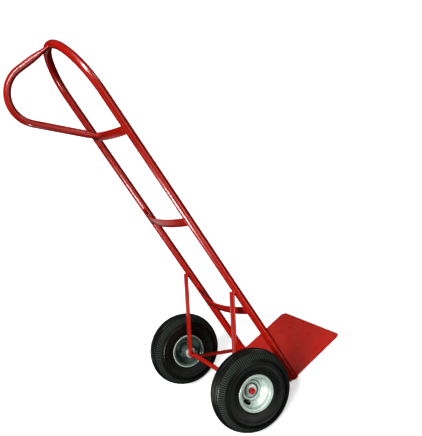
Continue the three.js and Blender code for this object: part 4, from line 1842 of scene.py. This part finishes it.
    def handle_paths(self) -> dict[str, list[Vector]]:
        """The middles of the beads round both ends of the handle.

        Returns:
            The path of each bead, by its name.
        """
        frame = self.frame
        off_handle, off_frame = self.handle_seat
        round_arch = frame.radius + off_frame
        crown = frame.height - frame.radius
        width, thickness = (frame.handle_radius * share + off_handle for share in frame.top_shares)
        top = []
        for c, s in arc(*self.handle_arc):
            rise = thickness * s - frame.handle_top_drop
            top.append(Vector((width * c, math.sqrt(round_arch**2 - rise**2), crown + rise)))
        width, thickness = (frame.handle_radius * share for share in frame.foot_shares)
        rear = frame.strap_rear + off_frame
        foot = [
            Vector((width * c, rear, frame.handle_foot_height + self.foot_slant * thickness * s))
            for c, s in arc(*self.handle_arc)
        ]
        return {"handle_top": top, "handle_foot": foot}

    def dress(self) -> None:
        """Builds every bead and puts it on the frame."""
        bracket_ends = {
            "top": self.axle.bracket_top - self.bracket_seat[1],
            "foot": self.axle.bracket_foot + self.bracket_seat[1],
        }
        paths = {f"rail_foot_{side.value}": self.rail_foot(side) for side in Side}
        paths.update(self.strap_paths())
        for end, height in bracket_ends.items():
            for side in Side:
                paths[f"bracket_{end}_{side.value}"] = self.bracket_end(side, height)
        paths.update({f"axle_{side.value}": self.axle_end(side) for side in Side})
        paths.update(self.handle_paths())
        for name, path in paths.items():
            settle(self.bead(f"weld_{name}", path), BodyName.FRAME, RED_PAINT)


@dataclass(frozen=True)
class SoftLight:
    """One rectangular lamp, placed by its distance and direction from the truck."""

    name: str
    toward: Triple
    distance: float
    size: Pair
    power: float
    target: Triple = (0.0, 0.05, 0.6)
    fills: bool = False

    def build(self) -> None:
        """Hangs the lamp and points it at its target. It only gives highlights unless it fills."""
        data = bpy.data.lights.new(self.name, "AREA")
        data.shape = "RECTANGLE"
        data.size, data.size_y = self.size
        data.energy = self.power
        light = hung(data, self.toward)
        light.location = Vector(self.target) + Vector(self.toward).normalized() * self.distance
        light.visible_camera = False
        light.visible_diffuse = self.fills


@dataclass(frozen=True)
class BroadLight:
    """A light from far off that shows the body colours and makes no highlights."""

    name: str
    toward: Triple
    spread: float
    strength: float

    def build(self) -> None:
        """Hangs the light, as broad as its spread in degrees."""
        data = bpy.data.lights.new(self.name, "SUN")
        data.energy = self.strength
        data.angle = math.radians(self.spread)
        hung(data, self.toward).visible_glossy = False


def hung(data: bpy.types.Light, toward: Triple) -> Piece:
    """Adds a light to the scene.

    Args:
        data: The light.
        toward: The direction from the truck to it.

    Returns:
        The new object, turned to the truck.
    """
    light = bpy.data.objects.new(data.name, data)
    bpy.context.scene.collection.objects.link(light)
    light.rotation_euler = Vector(toward).normalized().to_track_quat("Z", "Y").to_euler()
    return light


@dataclass
class Studio:
    """The pale floor, the soft lights and the camera."""

    camera_place: Triple = (-2.0942, 0.5812, 1.3386)
    camera_right: Triple = (-0.4394, -0.7342, -0.5176)
    camera_up: Triple = (0.0902, -0.6093, 0.7878)
    lens: float = 58.51
    sensor: float = 36
    far_clip: float = 200
    floor_size: float = 80.0
    floor_colour: float = 0.90
    floor_roughness: float = 0.9
    floor_glow: float = 0.46
    floor_bounce: float = 0.08
    sky_seen: float = 1.0
    sky_diffuse: float = 0.10
    sky_glossy: float = 0.015
    lights: Sequence[BroadLight | SoftLight] = (
        BroadLight("main_sun", (-0.48, 0.52, 0.70), 30, 2.45),
        BroadLight("front_sun", (0.78, -0.55, 0.42), 60, 1.5),
        SoftLight("key_lamp", (-0.33, -0.30, 0.89), 1.8, (0.5, 0.5), 3.6, (0.0, 0.10, 1.20)),
        SoftLight("handle_lamp", (-0.50, -0.82, 0.29), 1.6, (0.35, 0.35), 3.2, (0.0, 0.11, 1.06)),
        SoftLight("rail_lamp", (-0.98, -0.19, 0.0), 1.0, (0.35, 1.9), 5, (-0.178, 0.0, 0.42)),
        SoftLight("rear_lamp", (-0.25, 0.9, 0.35), 2.2, (0.7, 1.6), 3),
        SoftLight("wheel_lamp", (-0.3, -0.05, 0.95), 1.8, (0.8, 0.25), 25, (-0.25, 0.16, 0.13)),
        SoftLight("tread_lamp", (-0.17, 0.85, 0.48), 0.6, (0.5, 0.3), 14, (-0.28, 0.24, 0.17)),
        SoftLight("strap_lamp", (0.9, 0.45, 0.0), 2.0, (1.4, 0.6), 1.5, (0.0, 0.05, 0.17)),
        SoftLight("front_lamp", (0.45, -0.88, 0.05), 2.4, (0.6, 1.0), 3),
        SoftLight("disc_lamp", (-0.94, -0.2, 0.1), 1.2, (0.5, 0.3), 2, (-0.25, 0.16, 0.13), True),
    )

    def build_camera(self) -> None:
        """The camera at the photograph's viewing angle."""
        data = bpy.data.cameras.new("studio_camera")
        data.lens = self.lens
        data.sensor_width = self.sensor
        data.sensor_fit = "AUTO"
        data.clip_end = self.far_clip
        camera = bpy.data.objects.new("studio_camera", data)
        bpy.context.scene.collection.objects.link(camera)
        right = Vector(self.camera_right).normalized()
        back = right.cross(Vector(self.camera_up)).normalized()
        turn = Matrix((right, back.cross(right), back)).transposed().to_4x4()
        camera.matrix_world = Matrix.Translation(self.camera_place) @ turn
        bpy.context.scene.camera = camera

    def build_floor(self) -> None:
        """A wide pale floor that throws little light back at the truck."""
        floor = primitive(
            bpy.ops.mesh.primitive_plane_add, "studio_floor", size=self.floor_size
        )
        material = bpy.data.materials.new("studio_floor")
        material.use_nodes = True
        wiring = Wiring(material.node_tree)
        seen = material.node_tree.nodes["Principled BSDF"]
        looks = {
            "Base Color": (self.floor_colour, self.floor_colour, self.floor_colour, 1),
            "Roughness": self.floor_roughness,
            "Specular IOR Level": 0.0,
            "Emission Color": (1, 1, 1, 1),
            "Emission Strength": self.floor_glow,
        }
        wiring.feed(seen.inputs, looks)
        bounce = wiring.add("ShaderNodeBsdfDiffuse")
        grey = (self.floor_bounce, self.floor_bounce, self.floor_bounce, 1)
        wiring.feed(bounce.inputs, {"Color": grey})
        mix = wiring.add("ShaderNodeMixShader")
        to_camera = wiring.add("ShaderNodeLightPath").outputs["Is Camera Ray"]
        wiring.feed(mix.inputs, {0: to_camera, 1: bounce.outputs[0], 2: seen.outputs[0]})
        output = material.node_tree.nodes["Material Output"]
        wiring.feed(output.inputs, {"Surface": mix.outputs[0]})
        floor.data.materials.append(material)
        floor.visible_glossy = False

    def build_sky(self) -> None:
        """A white surround to look at, a dimmer one to light with and a dark one to reflect."""
        world = bpy.data.worlds.new("studio_surround")
        world.use_nodes = True
        bpy.context.scene.world = world
        wiring = Wiring(world.node_tree)
        paths = wiring.add("ShaderNodeLightPath").outputs
        shift = self.sky_seen - self.sky_diffuse
        strength = wiring.math("MULTIPLY", paths["Is Camera Ray"], shift)
        strength = wiring.math("ADD", strength, self.sky_diffuse)
        shift = self.sky_glossy - self.sky_diffuse
        dimmed = wiring.math("MULTIPLY", paths["Is Glossy Ray"], shift)
        strength = wiring.math("ADD", strength, dimmed)
        seen = world.node_tree.nodes["Background"]
        wiring.feed(seen.inputs, {"Color": (1, 1, 1, 1), "Strength": strength})

    def build(self) -> None:
        """Sets up the whole studio."""
        bpy.context.scene.view_settings.view_transform = "Standard"
        bpy.context.scene.view_settings.look = "Medium High Contrast"
        self.build_camera()
        self.build_floor()
        self.build_sky()
        for light in self.lights:
            light.build()


def dress_left_nodes(frame: dict) -> None:
    """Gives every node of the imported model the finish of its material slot.
    """
    by_slot = {finish.slot: finish for finish in FINISHES}
    slots = {entry["node"]: entry["material_slot"] for entry in frame["record"]["subparts"]}
    for name, node in frame["nodes"].items():
        node.data.materials.clear()
        node.data.materials.append(by_slot[slots[name]].material())


def main() -> None:
    """Builds the studio and every sub-assembly, and keeps the sizes of the model."""
    logging.basicConfig(level=logging.INFO, format="%(message)s")
    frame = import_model()
    Studio().build()
    dress_left_nodes(frame)
    for assembly in (TubeFrame(), CrossStraps(), ToePlate(), AxleSet(), Wheel(), Welds()):
        assembly.dress()
        LOG.info("%s done", type(assembly).__name__)
    deselect_all()


if __name__ == "__main__":
    main()
